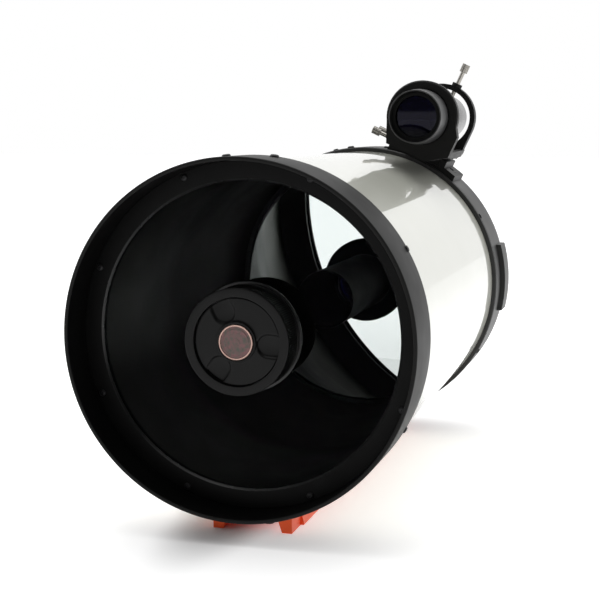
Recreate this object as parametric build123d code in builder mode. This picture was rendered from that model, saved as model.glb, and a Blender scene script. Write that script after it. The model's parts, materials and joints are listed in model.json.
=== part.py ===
"""Schmidt-Cassegrain telescope tube with dovetail bar, finder and moving primary mirror.

Millimetres. +X is right seen from the aperture, +Y runs from the aperture to the eyepiece
end, +Z is up. The origin is the middle of the dovetail bar's resting plane. Along the tube,
places are given as distances behind the front rim; around it, as a clock angle in degrees
from the top towards +X.
"""
from math import cos, radians, sin, sqrt
import os

from build123d import *

# Driving dimensions ----------------------------------------------------------------------
FIT = 0.05                   # radial clearance of running and seated round fits
TOUCH = 0.3                  # clearance between curved faces that move past each other

CELL_RADIUS = 162.0          # outside of the front and rear cells
BAR_DEPTH = 20.7             # the bar's resting plane to the underside of the cells
AXIS_HEIGHT = CELL_RADIUS + BAR_DEPTH
CELL_WALL = 3.7
FRONT_CELL_LENGTH = 63.0
TUBE_RADIUS = CELL_RADIUS - 5.0
TUBE_WALL = 2.0
TUBE_FRONT = 50.0            # the tube's front end, inside the front cell
TUBE_REAR = 504.0
RING_FACE = 38.0             # front face of the corrector's retaining ring
RING_THICK = 3.0
RING_SCREW_RADIUS = CELL_RADIUS - 8.5    # radius of the retaining ring's screw circle
RING_SCREWS = 8
CLEAR_RADIUS = CELL_RADIUS - 22.1        # clear aperture
GASKET_THICK = 0.8
CORRECTOR_RADIUS = CELL_RADIUS - 16.0
CORRECTOR_THICK = 4.8

REAR_CELL_FRONT = TUBE_REAR - 13.0
REAR_CELL_SHOULDER = TUBE_REAR + 64.0   # where the rear cell's side ends
BACK_INSIDE = REAR_CELL_SHOULDER        # inner face of the back plate
BACK_OUTSIDE = BACK_INSIDE + 8.0
REAR_CELL_BORE = CELL_RADIUS - 12.0
PAD_REACH = CELL_RADIUS + 5.5            # outer radius of the two side pads
PAD_HEIGHT = 80.0
PAD_LIFT = 4.8               # the pads' middle over the optical axis
PAD_FRONT = REAR_CELL_SHOULDER - 38.0
PAD_REAR = REAR_CELL_SHOULDER - 3.0

MIRROR_RADIUS = CELL_RADIUS - 16.3
MIRROR_CURVE = 1120.0        # radius of curvature of the primary
MIRROR_EDGE = REAR_CELL_FRONT + 8.0      # front of the primary's edge
MIRROR_EDGE_THICK = 18.0
MIRROR_BACK = MIRROR_EDGE + 44.0
MIRROR_BACK_RADIUS = 62.0
MIRROR_HOLE = 38.0
CLAMP_RING_RADIUS = 50.4
CLAMP_RING_FRONT = MIRROR_EDGE + 3.0
HUB_REAR = MIRROR_BACK + 13.0
FLANGE_THICK = 6.0
BAFFLE_RADIUS = 31.8
BAFFLE_WALL = 2.0
BAFFLE_FRONT = BACK_INSIDE - 255.0
BAFFLE_FLANGE = 44.0
BAFFLE_FLANGE_THICK = 4.0

CONTROL_CIRCLE = 98.0        # circle of the focus knob and the two mirror clutches
FOCUS_CLOCK = -110.0
CLUTCH_CLOCKS = (10.0, 130.0)
FOCUS_SCREW_RADIUS = 3.0
FOCUS_SCREW_FRONT = MIRROR_BACK + 0.5
NUT_RADIUS = 7.0
NUT_LENGTH = 12.0
ROD_RADIUS = 3.0
FOCUS_KNOB_RADIUS = 16.0
FOCUS_KNOB_LENGTH = 26.0
GRIP_WALL = 3.0
CLUTCH_KNOB_RADIUS = 13.0
CLUTCH_KNOB_LENGTH = 22.0
VENT_CLOCKS = (-65.0, 65.0)
VENT_CIRCLE = 116.0
VENT_RADIUS = 16.0

PORT_RADIUS = 52.0
PORT_REAR = BACK_OUTSIDE + 8.0
ADAPTER_RADIUS = 47.0
ADAPTER_REAR = PORT_REAR + 10.0
THREAD_RADIUS = 25.4         # two-inch thread that carries the visual back
THREAD_REAR = ADAPTER_REAR + 8.0
PORT_BORE = 23.0
VISUAL_BACK_RADIUS = 20.0
VISUAL_BACK_BORE = 15.95     # takes a 31.7 mm eyepiece barrel
VISUAL_BACK_REAR = THREAD_REAR + 34.0
COUPLING_RADIUS = 29.5

SECONDARY_RING_FRONT = 6.0
SECONDARY_THREAD = 45.5      # outside of the housing that passes through the corrector
CORRECTOR_HOLE = SECONDARY_THREAD + 0.5
SECONDARY_RING_RADIUS = SECONDARY_THREAD + 2.5
SECONDARY_OPENING = SECONDARY_THREAD - 5.8
SECONDARY_WALL = 2.0
SECONDARY_FLANGE = SECONDARY_THREAD + 4.8
SECONDARY_BAFFLE_RADIUS = SECONDARY_THREAD + 1.9
SECONDARY_BAFFLE_REAR = 100.0
SECONDARY_MIRROR_RADIUS = SECONDARY_THREAD - 7.5
MEDALLION_RADIUS = 15.7
COVER_RADIUS = SECONDARY_OPENING - 0.5
COLLIMATION_CIRCLE = 24.0
COLLIMATION_CLOCKS = (0.0, 120.0, 240.0)
GRIP_CLOCKS = (95.0, 215.0, 335.0)

BAR_FRONT = 50.0
BAR_LENGTH = TUBE_REAR + 42.0 - BAR_FRONT
BAR_NECK = 38.0              # half width of the bar above its flared rails
BAR_FLARE = 41.0             # half width of the flared rails at the bottom
BAR_RAIL = 28.4              # inner foot of each rail
BAR_CHANNEL = 11.0           # depth of the channel between the rails
BAR_FLARE_SETBACK = 30.0     # plain stretch at each end of the rails

FINDER_CLOCK = 24.9          # the finder stands out from the tube at this clock angle
FINDER_REACH = CELL_RADIUS + 55.4        # finder axis to optical axis
FINDER_RIM = TUBE_REAR - 166.0
FINDER_CELL_RADIUS = 30.0
FINDER_TUBE_RADIUS = 26.5
FINDER_FRONT_RING = FINDER_RIM + 47.0    # middle of the bracket's front ring
FINDER_REAR_RING = FINDER_FRONT_RING + 123.0
FINDER_RING_RADIUS = 39.8
FINDER_RING_WIDTH = 13.0
FINDER_REAR_BORE = 34.0
FINDER_REAR = FINDER_RIM + 222.0
THUMB_RADIUS = 4.6            # knurled heads of the finder's thumbscrews
THUMB_LENGTH = 10.0
THUMB_RIBS = 18
THUMB_RIB = 0.5
O_RING_SECTION = 2.0
BASE_FRONT = REAR_CELL_FRONT + 5.0
BASE_LENGTH = 64.0
BASE_RIGHT = 46.0            # reach of the base's saddle to either side
BASE_LEFT = 42.0
BASE_SADDLE = 6.6            # thickness of the base's saddle, which hugs the cell
BASE_BLOCK = 30.0            # half width of the grooved block on the saddle
BASE_TOP = CELL_RADIUS + 11.4            # height of the block's top over the optical axis
GROOVE_DEPTH = 9.0
FOOT_NECK = 20.0             # half width of the bracket's foot at the top of the base
FOOT_SPREAD = 24.0           # half width at the foot's bottom

BAR_MIDDLE = BAR_FRONT + BAR_LENGTH / 2

# Frames and repeated shapes ---------------------------------------------------------------
OPTICAL = Plane(origin=(0, -BAR_MIDDLE, AXIS_HEIGHT), x_dir=(0, 1, 0), z_dir=(1, 0, 0))


def outward(clock):
    """Unit direction pointing away from the optical axis at a clock angle."""
    return Vector(sin(radians(clock)), 0, cos(radians(clock)))


def axial(distance, reach=0.0, clock=0.0):
    """Plane across the tube, facing the rear, its centre `reach` from the optical axis."""
    centre = Vector(0, distance - BAR_MIDDLE, AXIS_HEIGHT) + outward(clock) * reach
    return Plane(origin=centre, x_dir=outward(clock), z_dir=(0, 1, 0))


def frontal(distance, reach=0.0, clock=0.0):
    """The same as axial, but facing the front."""
    centre = Vector(0, distance - BAR_MIDDLE, AXIS_HEIGHT) + outward(clock) * reach
    return Plane(origin=centre, x_dir=outward(clock), z_dir=(0, -1, 0))


def radial(distance, reach, clock):
    """Plane facing outwards, `reach` from the optical axis, its local x along the tube."""
    centre = Vector(0, distance - BAR_MIDDLE, AXIS_HEIGHT) + outward(clock) * reach
    return Plane(origin=centre, x_dir=(0, 1, 0), z_dir=outward(clock))


def parallel(reach, clock):
    """Turning plane for an axis parallel to the tube: local x is the distance behind the rim."""
    centre = Vector(0, -BAR_MIDDLE, AXIS_HEIGHT) + outward(clock) * reach
    return Plane(origin=centre, x_dir=(0, 1, 0), z_dir=(1, 0, 0))


def turned(plane, *outline, mode=Mode.ADD):
    """Revolve an outline of (distance, radius) points about the plane's x axis."""
    with BuildSketch(plane) as section:
        with BuildLine():
            Polyline(*outline, close=True)
        make_face()
    revolve(section.sketch, axis=Axis(plane.origin, plane.x_dir), mode=mode)


def rod(places, radius, length, mode=Mode.ADD, lift=0.0):
    """A cylinder standing on each plane, starting `lift` above it."""
    with Locations(*[place.offset(lift) for place in places]):
        Cylinder(radius, length, align=(Align.CENTER, Align.CENTER, Align.MIN), mode=mode)


def screws(places, head_radius, head_height, shank_radius, shank_length, socket=0.5):
    """Socket-head screws: the head stands on each plane and the shank goes below it."""
    rod(places, head_radius, head_height)
    rod(places, shank_radius, shank_length, lift=-shank_length)
    with Locations(*[place.offset(head_height * (1 - socket)) for place in places]):
        with BuildSketch(mode=Mode.PRIVATE) as key:
            RegularPolygon(head_radius * 0.5, 6)
        add(extrude(key.sketch, head_height, mode=Mode.PRIVATE), mode=Mode.SUBTRACT)


def knurled(place, radius, length, ribs, rib_radius=0.5):
    """A knob with shallow grooves down its side, standing on a plane."""
    rod([place], radius, length)
    with Locations(place):
        with PolarLocations(radius, ribs):
            Cylinder(rib_radius, length, align=(Align.CENTER, Align.CENTER, Align.MIN),
                     mode=Mode.SUBTRACT)


def thumb_head(place, reach):
    """Knurled head of a thumbscrew that stands out from a plane, its end `reach` away."""
    knurled(place.offset(reach - THUMB_LENGTH), THUMB_RADIUS, THUMB_LENGTH, THUMB_RIBS, THUMB_RIB)


def save(name, body):
    """Label a finished piece and write it to the parts folder."""
    body.part.label = name
    export_step(body.part, f"parts/{name}.step")


os.makedirs("parts", exist_ok=True)

# Places worked out from the driving dimensions ---------------------------------------------
CELL_BORE = CELL_RADIUS - CELL_WALL
TUBE_SEAT = TUBE_RADIUS + FIT
SEAT_FACE = RING_FACE + RING_THICK               # where the retaining ring lies on the cell
CORRECTOR_FRONT = SEAT_FACE + GASKET_THICK
CORRECTOR_REAR = CORRECTOR_FRONT + CORRECTOR_THICK
CORRECTOR_SEAT = CORRECTOR_RADIUS + TOUCH
CELL_SCREW_STATION = (TUBE_FRONT + FRONT_CELL_LENGTH) / 2 + 2.3
PLUG_CLOCKS = (-8.0, 8.0)
FRONT_SCREW_CLOCKS = (-60.0, 60.0, -120.0, 120.0)
REAR_SCREW_CLOCKS = (-13.0, -60.0, 60.0, -120.0, 120.0)
REAR_SCREW_STATION = REAR_CELL_FRONT + 8.0
CELL_SCREW = 2.0
CELL_SCREW_HEAD = 3.2
CELL_SCREW_HEIGHT = 1.5
FRONT_PLUG_STATION = TUBE_FRONT - 1.0
REAR_PLUG_STATION = REAR_CELL_FRONT + 28.0
RETAINER_CLOCKS = [360 / RING_SCREWS * k + 22.5 for k in range(RING_SCREWS)]

front_screw_places = [radial(CELL_SCREW_STATION, CELL_RADIUS, c) for c in FRONT_SCREW_CLOCKS]
rear_screw_places = [radial(REAR_SCREW_STATION, CELL_RADIUS, c) for c in REAR_SCREW_CLOCKS]
front_plug_places = [radial(FRONT_PLUG_STATION, CELL_RADIUS, c) for c in PLUG_CLOCKS]
rear_plug_places = [radial(REAR_PLUG_STATION, CELL_RADIUS, c) for c in PLUG_CLOCKS]
retainer_places = [frontal(RING_FACE, RING_SCREW_RADIUS, c) for c in RETAINER_CLOCKS]
PLUG_RADIUS = 4.2
PLUG_HEIGHT = 2.2
PLUG_SHANK = 2.5
SHANK = 3.0
HOLE = CELL_SCREW + FIT

# Bar screws stand on the channel's floor and go up into the two cells.
BAR_SCREW_RADIUS = 3.0
BAR_SCREW_HEAD = 5.0
BAR_SCREW_HEIGHT = 4.0
BAR_SCREW_X = 14.0
FRONT_BAR_SCREWS = (BAR_FRONT + 6.5,)
REAR_BAR_SCREWS = (REAR_CELL_FRONT + 14.0, REAR_CELL_FRONT + 40.0)
bar_screw_places = [
    Plane(origin=(side * BAR_SCREW_X, s - BAR_MIDDLE, BAR_CHANNEL), x_dir=(1, 0, 0), z_dir=(0, 0, -1))
    for s in FRONT_BAR_SCREWS + REAR_BAR_SCREWS for side in (-1, 1)
]
BAR_SCREW_GRIP = AXIS_HEIGHT - sqrt(CELL_RADIUS ** 2 - BAR_SCREW_X ** 2) - BAR_CHANNEL + 3.5

# Finder base screws stand in counterbores of the base and go down into the rear cell.
BASE_MIDDLE = BASE_FRONT + BASE_LENGTH / 2
BASE_SCREW_SIDE = 36.0
BASE_SCREW_RADIUS = 2.5
BASE_SCREW_SEAT = 3.6        # depth of the counterbores in the base's saddle
BASE_SCREW_DEPTH = 9.5
SADDLE_RADIUS = CELL_RADIUS + BASE_SADDLE
BASE_SCREW_LEVEL = sqrt(SADDLE_RADIUS ** 2 - BASE_SCREW_SIDE ** 2) - BASE_SCREW_SEAT


def beside_finder(distance, side, height):
    """Plane facing out along the finder's clock angle, `side` across and `height` up."""
    origin = radial(distance, height, FINDER_CLOCK).origin + outward(FINDER_CLOCK + 90) * side
    return Plane(origin=origin, x_dir=(0, 1, 0), z_dir=outward(FINDER_CLOCK))


base_screw_places = [
    beside_finder(BASE_MIDDLE, side * BASE_SCREW_SIDE, BASE_SCREW_LEVEL) for side in (-1, 1)
]

# Mounting points of the rear cell's back plate.
focus_place = axial(BACK_INSIDE, CONTROL_CIRCLE, FOCUS_CLOCK)
clutch_places = [axial(BACK_INSIDE, CONTROL_CIRCLE, c) for c in CLUTCH_CLOCKS]
vent_places = [axial(BACK_OUTSIDE, VENT_CIRCLE, c) for c in VENT_CLOCKS]
BACK_THICK = BACK_OUTSIDE - BACK_INSIDE
RETAINER_RADIUS = 20.0
RETAINER_THICK = 6.0
RETAINER_SCREW_CIRCLE = 16.0
RETAINER_SCREW_RADIUS = 1.5
BEARING_RADIUS = 9.5
BEARING_BORE = FOCUS_SCREW_RADIUS + FIT
BEARING_LENGTH = 10.0
BUSH_RADIUS = 8.0
BUSH_FLANGE = 11.0
BUSH_FLANGE_THICK = 3.0

# Optical tube ---------------------------------------------------------------------------
with BuildPart() as main_tube:
    turned(OPTICAL, (TUBE_FRONT, TUBE_RADIUS), (TUBE_REAR, TUBE_RADIUS),
           (TUBE_REAR, TUBE_RADIUS - TUBE_WALL), (TUBE_FRONT, TUBE_RADIUS - TUBE_WALL))
save("main_tube", main_tube)

LIP = 1.5
with BuildPart() as front_cell:
    turned(OPTICAL,
           (0, CELL_RADIUS - LIP), (LIP * 0.3, CELL_RADIUS - LIP * 0.3), (LIP, CELL_RADIUS),
           (FRONT_CELL_LENGTH - 1, CELL_RADIUS), (FRONT_CELL_LENGTH, CELL_RADIUS - 1),
           (FRONT_CELL_LENGTH, TUBE_SEAT), (TUBE_FRONT, TUBE_SEAT),
           (TUBE_FRONT, CLEAR_RADIUS + 1), (CORRECTOR_REAR, CLEAR_RADIUS + 1),
           (CORRECTOR_REAR, CORRECTOR_SEAT), (SEAT_FACE, CORRECTOR_SEAT),
           (SEAT_FACE, CELL_BORE), (LIP, CELL_BORE), (0, CELL_BORE + LIP * 0.6))
    rod(front_screw_places, HOLE, 8, mode=Mode.SUBTRACT, lift=-SHANK - FIT)
    rod(front_plug_places, PLUG_SHANK + FIT, 8, mode=Mode.SUBTRACT, lift=-SHANK - FIT)
    rod([p.offset(-RING_THICK - 5) for p in retainer_places], HOLE, 5, mode=Mode.SUBTRACT)
    rod(bar_screw_places[:2], BAR_SCREW_RADIUS + FIT, BAR_SCREW_GRIP, mode=Mode.SUBTRACT,
        lift=-BAR_SCREW_GRIP - FIT)
save("front_cell", front_cell)

with BuildPart() as corrector_gasket:
    turned(OPTICAL, (SEAT_FACE, CLEAR_RADIUS + 0.6), (SEAT_FACE, CORRECTOR_RADIUS),
           (CORRECTOR_FRONT, CORRECTOR_RADIUS), (CORRECTOR_FRONT, CLEAR_RADIUS + 0.6))
save("corrector_gasket", corrector_gasket)

with BuildPart() as corrector_plate:
    turned(OPTICAL, (CORRECTOR_FRONT, CORRECTOR_HOLE), (CORRECTOR_FRONT, CORRECTOR_RADIUS),
           (CORRECTOR_REAR, CORRECTOR_RADIUS), (CORRECTOR_REAR, CORRECTOR_HOLE))
save("corrector_plate", corrector_plate)

with BuildPart() as retaining_ring:
    turned(OPTICAL, (RING_FACE, CLEAR_RADIUS + 1.5), (RING_FACE, CELL_BORE - FIT),
           (SEAT_FACE, CELL_BORE - FIT), (SEAT_FACE, CLEAR_RADIUS), (RING_FACE + 1.5, CLEAR_RADIUS))
    rod([p.offset(-RING_THICK) for p in retainer_places], HOLE, RING_THICK, mode=Mode.SUBTRACT)
save("retaining_ring", retaining_ring)

with BuildPart() as retaining_ring_screws:
    screws(retainer_places, CELL_SCREW_HEAD, CELL_SCREW_HEIGHT, CELL_SCREW, RING_THICK + 4)
save("retaining_ring_screws", retaining_ring_screws)

with BuildPart() as cell_screws:
    screws(front_screw_places + rear_screw_places, CELL_SCREW_HEAD, CELL_SCREW_HEIGHT,
           CELL_SCREW, SHANK)
save("cell_screws", cell_screws)

with BuildPart() as accessory_plugs:
    screws(front_plug_places + rear_plug_places, PLUG_RADIUS, PLUG_HEIGHT, PLUG_SHANK, SHANK)
save("accessory_plugs", accessory_plugs)

# Rear cell ------------------------------------------------------------------------------
FLANGE = 4.5                 # narrow front flange of the rear cell
GROOVE = 1.5
with BuildPart() as rear_cell:
    turned(OPTICAL,
           (REAR_CELL_FRONT, TUBE_SEAT), (REAR_CELL_FRONT, CELL_RADIUS - 1),
           (REAR_CELL_FRONT + 1, CELL_RADIUS), (REAR_CELL_FRONT + FLANGE, CELL_RADIUS),
           (REAR_CELL_FRONT + FLANGE, CELL_RADIUS - GROOVE),
           (REAR_CELL_FRONT + FLANGE + GROOVE, CELL_RADIUS - GROOVE),
           (REAR_CELL_FRONT + FLANGE + GROOVE, CELL_RADIUS),
           (REAR_CELL_SHOULDER - 2, CELL_RADIUS), (REAR_CELL_SHOULDER, CELL_RADIUS - 2),
           (BACK_OUTSIDE, REAR_CELL_BORE), (BACK_OUTSIDE, PORT_RADIUS),
           (PORT_REAR, PORT_RADIUS), (PORT_REAR, BAFFLE_RADIUS + FIT),
           (BACK_INSIDE, BAFFLE_RADIUS + FIT), (BACK_INSIDE, REAR_CELL_BORE),
           (TUBE_REAR, REAR_CELL_BORE), (TUBE_REAR, TUBE_SEAT))
    for side in (-1, 1):
        pad = Plane(origin=(0, PAD_FRONT - BAR_MIDDLE, AXIS_HEIGHT), x_dir=(1, 0, 0), z_dir=(0, -1, 0))
        with BuildSketch(pad) as pad_sketch:
            Circle(PAD_REACH)
            with Locations((0, PAD_LIFT)):
                Rectangle(PAD_REACH, PAD_HEIGHT, align=(Align.MIN if side > 0 else Align.MAX,
                          Align.CENTER), mode=Mode.INTERSECT)
            Circle(CELL_RADIUS - 1, mode=Mode.SUBTRACT)
        extrude(pad_sketch.sketch, PAD_FRONT - PAD_REAR)
    rod(rear_screw_places, HOLE, 8, mode=Mode.SUBTRACT, lift=-SHANK - FIT)
    rod(rear_plug_places, PLUG_SHANK + FIT, 8, mode=Mode.SUBTRACT, lift=-SHANK - FIT)
    rod(bar_screw_places[2:], BAR_SCREW_RADIUS + FIT, BAR_SCREW_GRIP, mode=Mode.SUBTRACT,
        lift=-BAR_SCREW_GRIP - FIT)
    rod(base_screw_places, BASE_SCREW_RADIUS + FIT, BASE_SCREW_DEPTH + FIT, mode=Mode.SUBTRACT,
        lift=-BASE_SCREW_DEPTH - FIT)
    rod([focus_place], BEARING_RADIUS + FIT, BACK_THICK, mode=Mode.SUBTRACT)
    rod(clutch_places, BUSH_RADIUS + FIT, BACK_THICK, mode=Mode.SUBTRACT)
    rod([p.offset(-BACK_THICK) for p in vent_places], VENT_RADIUS, BACK_THICK, mode=Mode.SUBTRACT)
    with Locations(axial(BACK_INSIDE, CONTROL_CIRCLE, FOCUS_CLOCK)):
        with PolarLocations(RETAINER_SCREW_CIRCLE, 3):
            Cylinder(RETAINER_SCREW_RADIUS + FIT, BACK_THICK,
                     align=(Align.CENTER, Align.CENTER, Align.MIN), mode=Mode.SUBTRACT)
save("rear_cell", rear_cell)

SCREEN_PITCH = 3.2
SCREEN_THICK = 1.0
with BuildPart() as vents:
    rod([p.offset(-SCREEN_THICK) for p in vent_places], VENT_RADIUS - FIT, SCREEN_THICK)
    for place in vent_places:
        with Locations(place.offset(-SCREEN_THICK)):
            with GridLocations(SCREEN_PITCH, SCREEN_PITCH, 7, 7):
                Box(SCREEN_PITCH - 1, SCREEN_PITCH - 1, 3 * SCREEN_THICK, mode=Mode.SUBTRACT)
    rod(vent_places, VENT_RADIUS + 3, 1.5)
    rod(vent_places, VENT_RADIUS - 3, 1.5, mode=Mode.SUBTRACT)
save("vents", vents)

# Primary baffle and field lenses ---------------------------------------------------------
BAFFLE_BORE = BAFFLE_RADIUS - BAFFLE_WALL
BAFFLE_FLANGE_FRONT = BACK_INSIDE - BAFFLE_FLANGE_THICK
with BuildPart() as baffle_tube:
    turned(OPTICAL, (BAFFLE_FRONT, BAFFLE_RADIUS), (BAFFLE_FLANGE_FRONT, BAFFLE_RADIUS),
           (BAFFLE_FLANGE_FRONT, BAFFLE_FLANGE), (BACK_INSIDE, BAFFLE_FLANGE),
           (BACK_INSIDE, BAFFLE_RADIUS), (PORT_REAR, BAFFLE_RADIUS), (PORT_REAR, BAFFLE_BORE),
           (BAFFLE_FRONT, BAFFLE_BORE))
save("baffle_tube", baffle_tube)

LENS_RADIUS = 26.0
LENS_CELL_FRONT = 470.0
LENS_CELL_REAR = 510.0
LENS_STEP = 2.0
with BuildPart() as field_lens_cell:
    turned(OPTICAL, (LENS_CELL_FRONT, BAFFLE_BORE - FIT), (LENS_CELL_REAR, BAFFLE_BORE - FIT),
           (LENS_CELL_REAR, LENS_RADIUS + FIT), (LENS_CELL_REAR - 10, LENS_RADIUS + FIT),
           (LENS_CELL_REAR - 10, LENS_RADIUS - LENS_STEP),
           (LENS_CELL_FRONT + 12, LENS_RADIUS - LENS_STEP),
           (LENS_CELL_FRONT + 12, LENS_RADIUS + FIT), (LENS_CELL_FRONT, LENS_RADIUS + FIT))
save("field_lens_cell", field_lens_cell)

with BuildPart() as field_lenses:
    turned(OPTICAL, (LENS_CELL_FRONT + 3, 0), (LENS_CELL_FRONT + 5, LENS_RADIUS * 0.6),
           (LENS_CELL_FRONT + 8, LENS_RADIUS), (LENS_CELL_FRONT + 12, LENS_RADIUS),
           (LENS_CELL_FRONT + 12, 0))
    turned(OPTICAL, (LENS_CELL_REAR - 10, 0), (LENS_CELL_REAR - 10, LENS_RADIUS),
           (LENS_CELL_REAR - 5, LENS_RADIUS), (LENS_CELL_REAR - 7, 0))
save("field_lenses", field_lenses)

# Primary mirror and its sliding carriage --------------------------------------------------
VERTEX = MIRROR_EDGE + MIRROR_RADIUS ** 2 / (2 * MIRROR_CURVE)
HUB_RADIUS = MIRROR_HOLE - FIT
FLANGE_REAR = MIRROR_BACK + FLANGE_THICK
ARM_REACH = CONTROL_CIRCLE + 12.0
ARM_WIDTH = 26.0


def mirror_face(reach):
    """Distance behind the rim of the primary's front surface at a radius."""
    return VERTEX - reach ** 2 / (2 * MIRROR_CURVE)


with BuildPart() as primary_mirror:
    with BuildSketch(OPTICAL) as mirror_section:
        with BuildLine():
            hole_edge = (mirror_face(MIRROR_HOLE), MIRROR_HOLE)
            middle = (mirror_face((MIRROR_HOLE + MIRROR_RADIUS) / 2), (MIRROR_HOLE + MIRROR_RADIUS) / 2)
            ThreePointArc(hole_edge, middle, (MIRROR_EDGE, MIRROR_RADIUS))
            Polyline((MIRROR_EDGE, MIRROR_RADIUS), (MIRROR_EDGE + MIRROR_EDGE_THICK, MIRROR_RADIUS),
                     (MIRROR_BACK, MIRROR_BACK_RADIUS), (MIRROR_BACK, MIRROR_HOLE), hole_edge)
        make_face()
    revolve(axis=Axis(OPTICAL.origin, OPTICAL.x_dir))
save("primary_mirror", primary_mirror)

with BuildPart() as mirror_hub:
    turned(OPTICAL, (CLAMP_RING_FRONT, BAFFLE_RADIUS + FIT), (CLAMP_RING_FRONT, HUB_RADIUS),
           (MIRROR_BACK, HUB_RADIUS), (MIRROR_BACK, MIRROR_BACK_RADIUS),
           (FLANGE_REAR, MIRROR_BACK_RADIUS), (FLANGE_REAR, HUB_RADIUS + 4),
           (HUB_REAR, HUB_RADIUS + 4), (HUB_REAR, BAFFLE_RADIUS + FIT))
    for clock in (FOCUS_CLOCK,) + CLUTCH_CLOCKS:
        with BuildSketch(axial(MIRROR_BACK, 0, clock)) as arm:
            with Locations((MIRROR_BACK_RADIUS - 12, 0)):
                Rectangle(ARM_REACH - MIRROR_BACK_RADIUS + 12, ARM_WIDTH, align=(Align.MIN, Align.CENTER))
        extrude(arm.sketch, FLANGE_THICK)
    rod([axial(MIRROR_BACK, CONTROL_CIRCLE, FOCUS_CLOCK)], NUT_RADIUS, FLANGE_THICK,
        mode=Mode.SUBTRACT)
    rod([axial(MIRROR_BACK, CONTROL_CIRCLE, c) for c in CLUTCH_CLOCKS], ROD_RADIUS, FLANGE_THICK,
        mode=Mode.SUBTRACT)
save("mirror_hub", mirror_hub)

with BuildPart() as mirror_clamp_ring:
    turned(OPTICAL, (CLAMP_RING_FRONT, HUB_RADIUS), (CLAMP_RING_FRONT, CLAMP_RING_RADIUS - 1),
           (CLAMP_RING_FRONT + 1, CLAMP_RING_RADIUS),
           (mirror_face(CLAMP_RING_RADIUS) - FIT, CLAMP_RING_RADIUS),
           (mirror_face(HUB_RADIUS) - FIT, HUB_RADIUS))
save("mirror_clamp_ring", mirror_clamp_ring)

with BuildPart() as focus_nut:
    rod([axial(MIRROR_BACK, CONTROL_CIRCLE, FOCUS_CLOCK)], NUT_RADIUS, FLANGE_THICK)
    rod([axial(FLANGE_REAR, CONTROL_CIRCLE, FOCUS_CLOCK)], NUT_RADIUS + 2, NUT_LENGTH - FLANGE_THICK)
    rod([axial(MIRROR_BACK, CONTROL_CIRCLE, FOCUS_CLOCK)], FOCUS_SCREW_RADIUS + FIT, NUT_LENGTH,
        mode=Mode.SUBTRACT)
save("focus_nut", focus_nut)

CLUTCH_REAR = BACK_OUTSIDE + BUSH_FLANGE_THICK
ROD_REAR = CLUTCH_REAR + CLUTCH_KNOB_LENGTH - 8
with BuildPart() as clutch_rods:
    rod([axial(MIRROR_BACK, CONTROL_CIRCLE, c) for c in CLUTCH_CLOCKS], ROD_RADIUS,
        ROD_REAR - MIRROR_BACK)
save("clutch_rods", clutch_rods)

# Focus control -----------------------------------------------------------------------------
KNOB_FRONT = BACK_OUTSIDE + RETAINER_THICK + 1.0
SCREW_COLLAR = 6.0
with BuildPart() as focus_bearing:
    rod([focus_place], BEARING_RADIUS, BEARING_LENGTH)
    rod([focus_place], BEARING_BORE, BEARING_LENGTH, mode=Mode.SUBTRACT)
save("focus_bearing", focus_bearing)

with BuildPart() as focus_retainer:
    rod([focus_place.offset(BACK_THICK)], RETAINER_RADIUS, RETAINER_THICK)
    rod([focus_place.offset(BACK_THICK)], BEARING_RADIUS + FIT, BEARING_LENGTH - BACK_THICK,
        mode=Mode.SUBTRACT)
    rod([focus_place.offset(BACK_THICK)], BEARING_BORE + 1, RETAINER_THICK, mode=Mode.SUBTRACT)
    with Locations(focus_place.offset(BACK_THICK)):
        with PolarLocations(RETAINER_SCREW_CIRCLE, 3):
            Cylinder(RETAINER_SCREW_RADIUS + FIT, RETAINER_THICK,
                     align=(Align.CENTER, Align.CENTER, Align.MIN), mode=Mode.SUBTRACT)
save("focus_retainer", focus_retainer)

with BuildPart() as focus_retainer_screws:
    with Locations(focus_place.offset(BACK_THICK + RETAINER_THICK)):
        with PolarLocations(RETAINER_SCREW_CIRCLE, 3):
            Cylinder(RETAINER_SCREW_RADIUS, RETAINER_THICK + 5,
                     align=(Align.CENTER, Align.CENTER, Align.MAX))
            Cylinder(2.8, 0.7, align=(Align.CENTER, Align.CENTER, Align.MIN))
save("focus_retainer_screws", focus_retainer_screws)

with BuildPart() as focus_screw:
    rod([axial(FOCUS_SCREW_FRONT, CONTROL_CIRCLE, FOCUS_CLOCK)], FOCUS_SCREW_RADIUS,
        KNOB_FRONT + FOCUS_KNOB_LENGTH - 6 - FOCUS_SCREW_FRONT)
save("focus_screw", focus_screw)

knob_place = axial(KNOB_FRONT, CONTROL_CIRCLE, FOCUS_CLOCK)
with BuildPart() as focus_knob:
    rod([knob_place], FOCUS_KNOB_RADIUS, FOCUS_KNOB_LENGTH)
    rod([knob_place], FOCUS_SCREW_RADIUS, FOCUS_KNOB_LENGTH - 6, mode=Mode.SUBTRACT)
save("focus_knob", focus_knob)

with BuildPart() as focus_grip:
    knurled(knob_place, FOCUS_KNOB_RADIUS + GRIP_WALL, FOCUS_KNOB_LENGTH - 2, 36, 0.8)
    rod([knob_place], FOCUS_KNOB_RADIUS, FOCUS_KNOB_LENGTH, mode=Mode.SUBTRACT)
save("focus_grip", focus_grip)

# Mirror clutches ---------------------------------------------------------------------------
with BuildPart() as clutch_bushings:
    rod(clutch_places, BUSH_RADIUS, BACK_THICK)
    rod([p.offset(BACK_THICK) for p in clutch_places], BUSH_FLANGE, BUSH_FLANGE_THICK)
    rod(clutch_places, ROD_RADIUS + FIT, BACK_THICK + BUSH_FLANGE_THICK, mode=Mode.SUBTRACT)
save("clutch_bushings", clutch_bushings)

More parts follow.
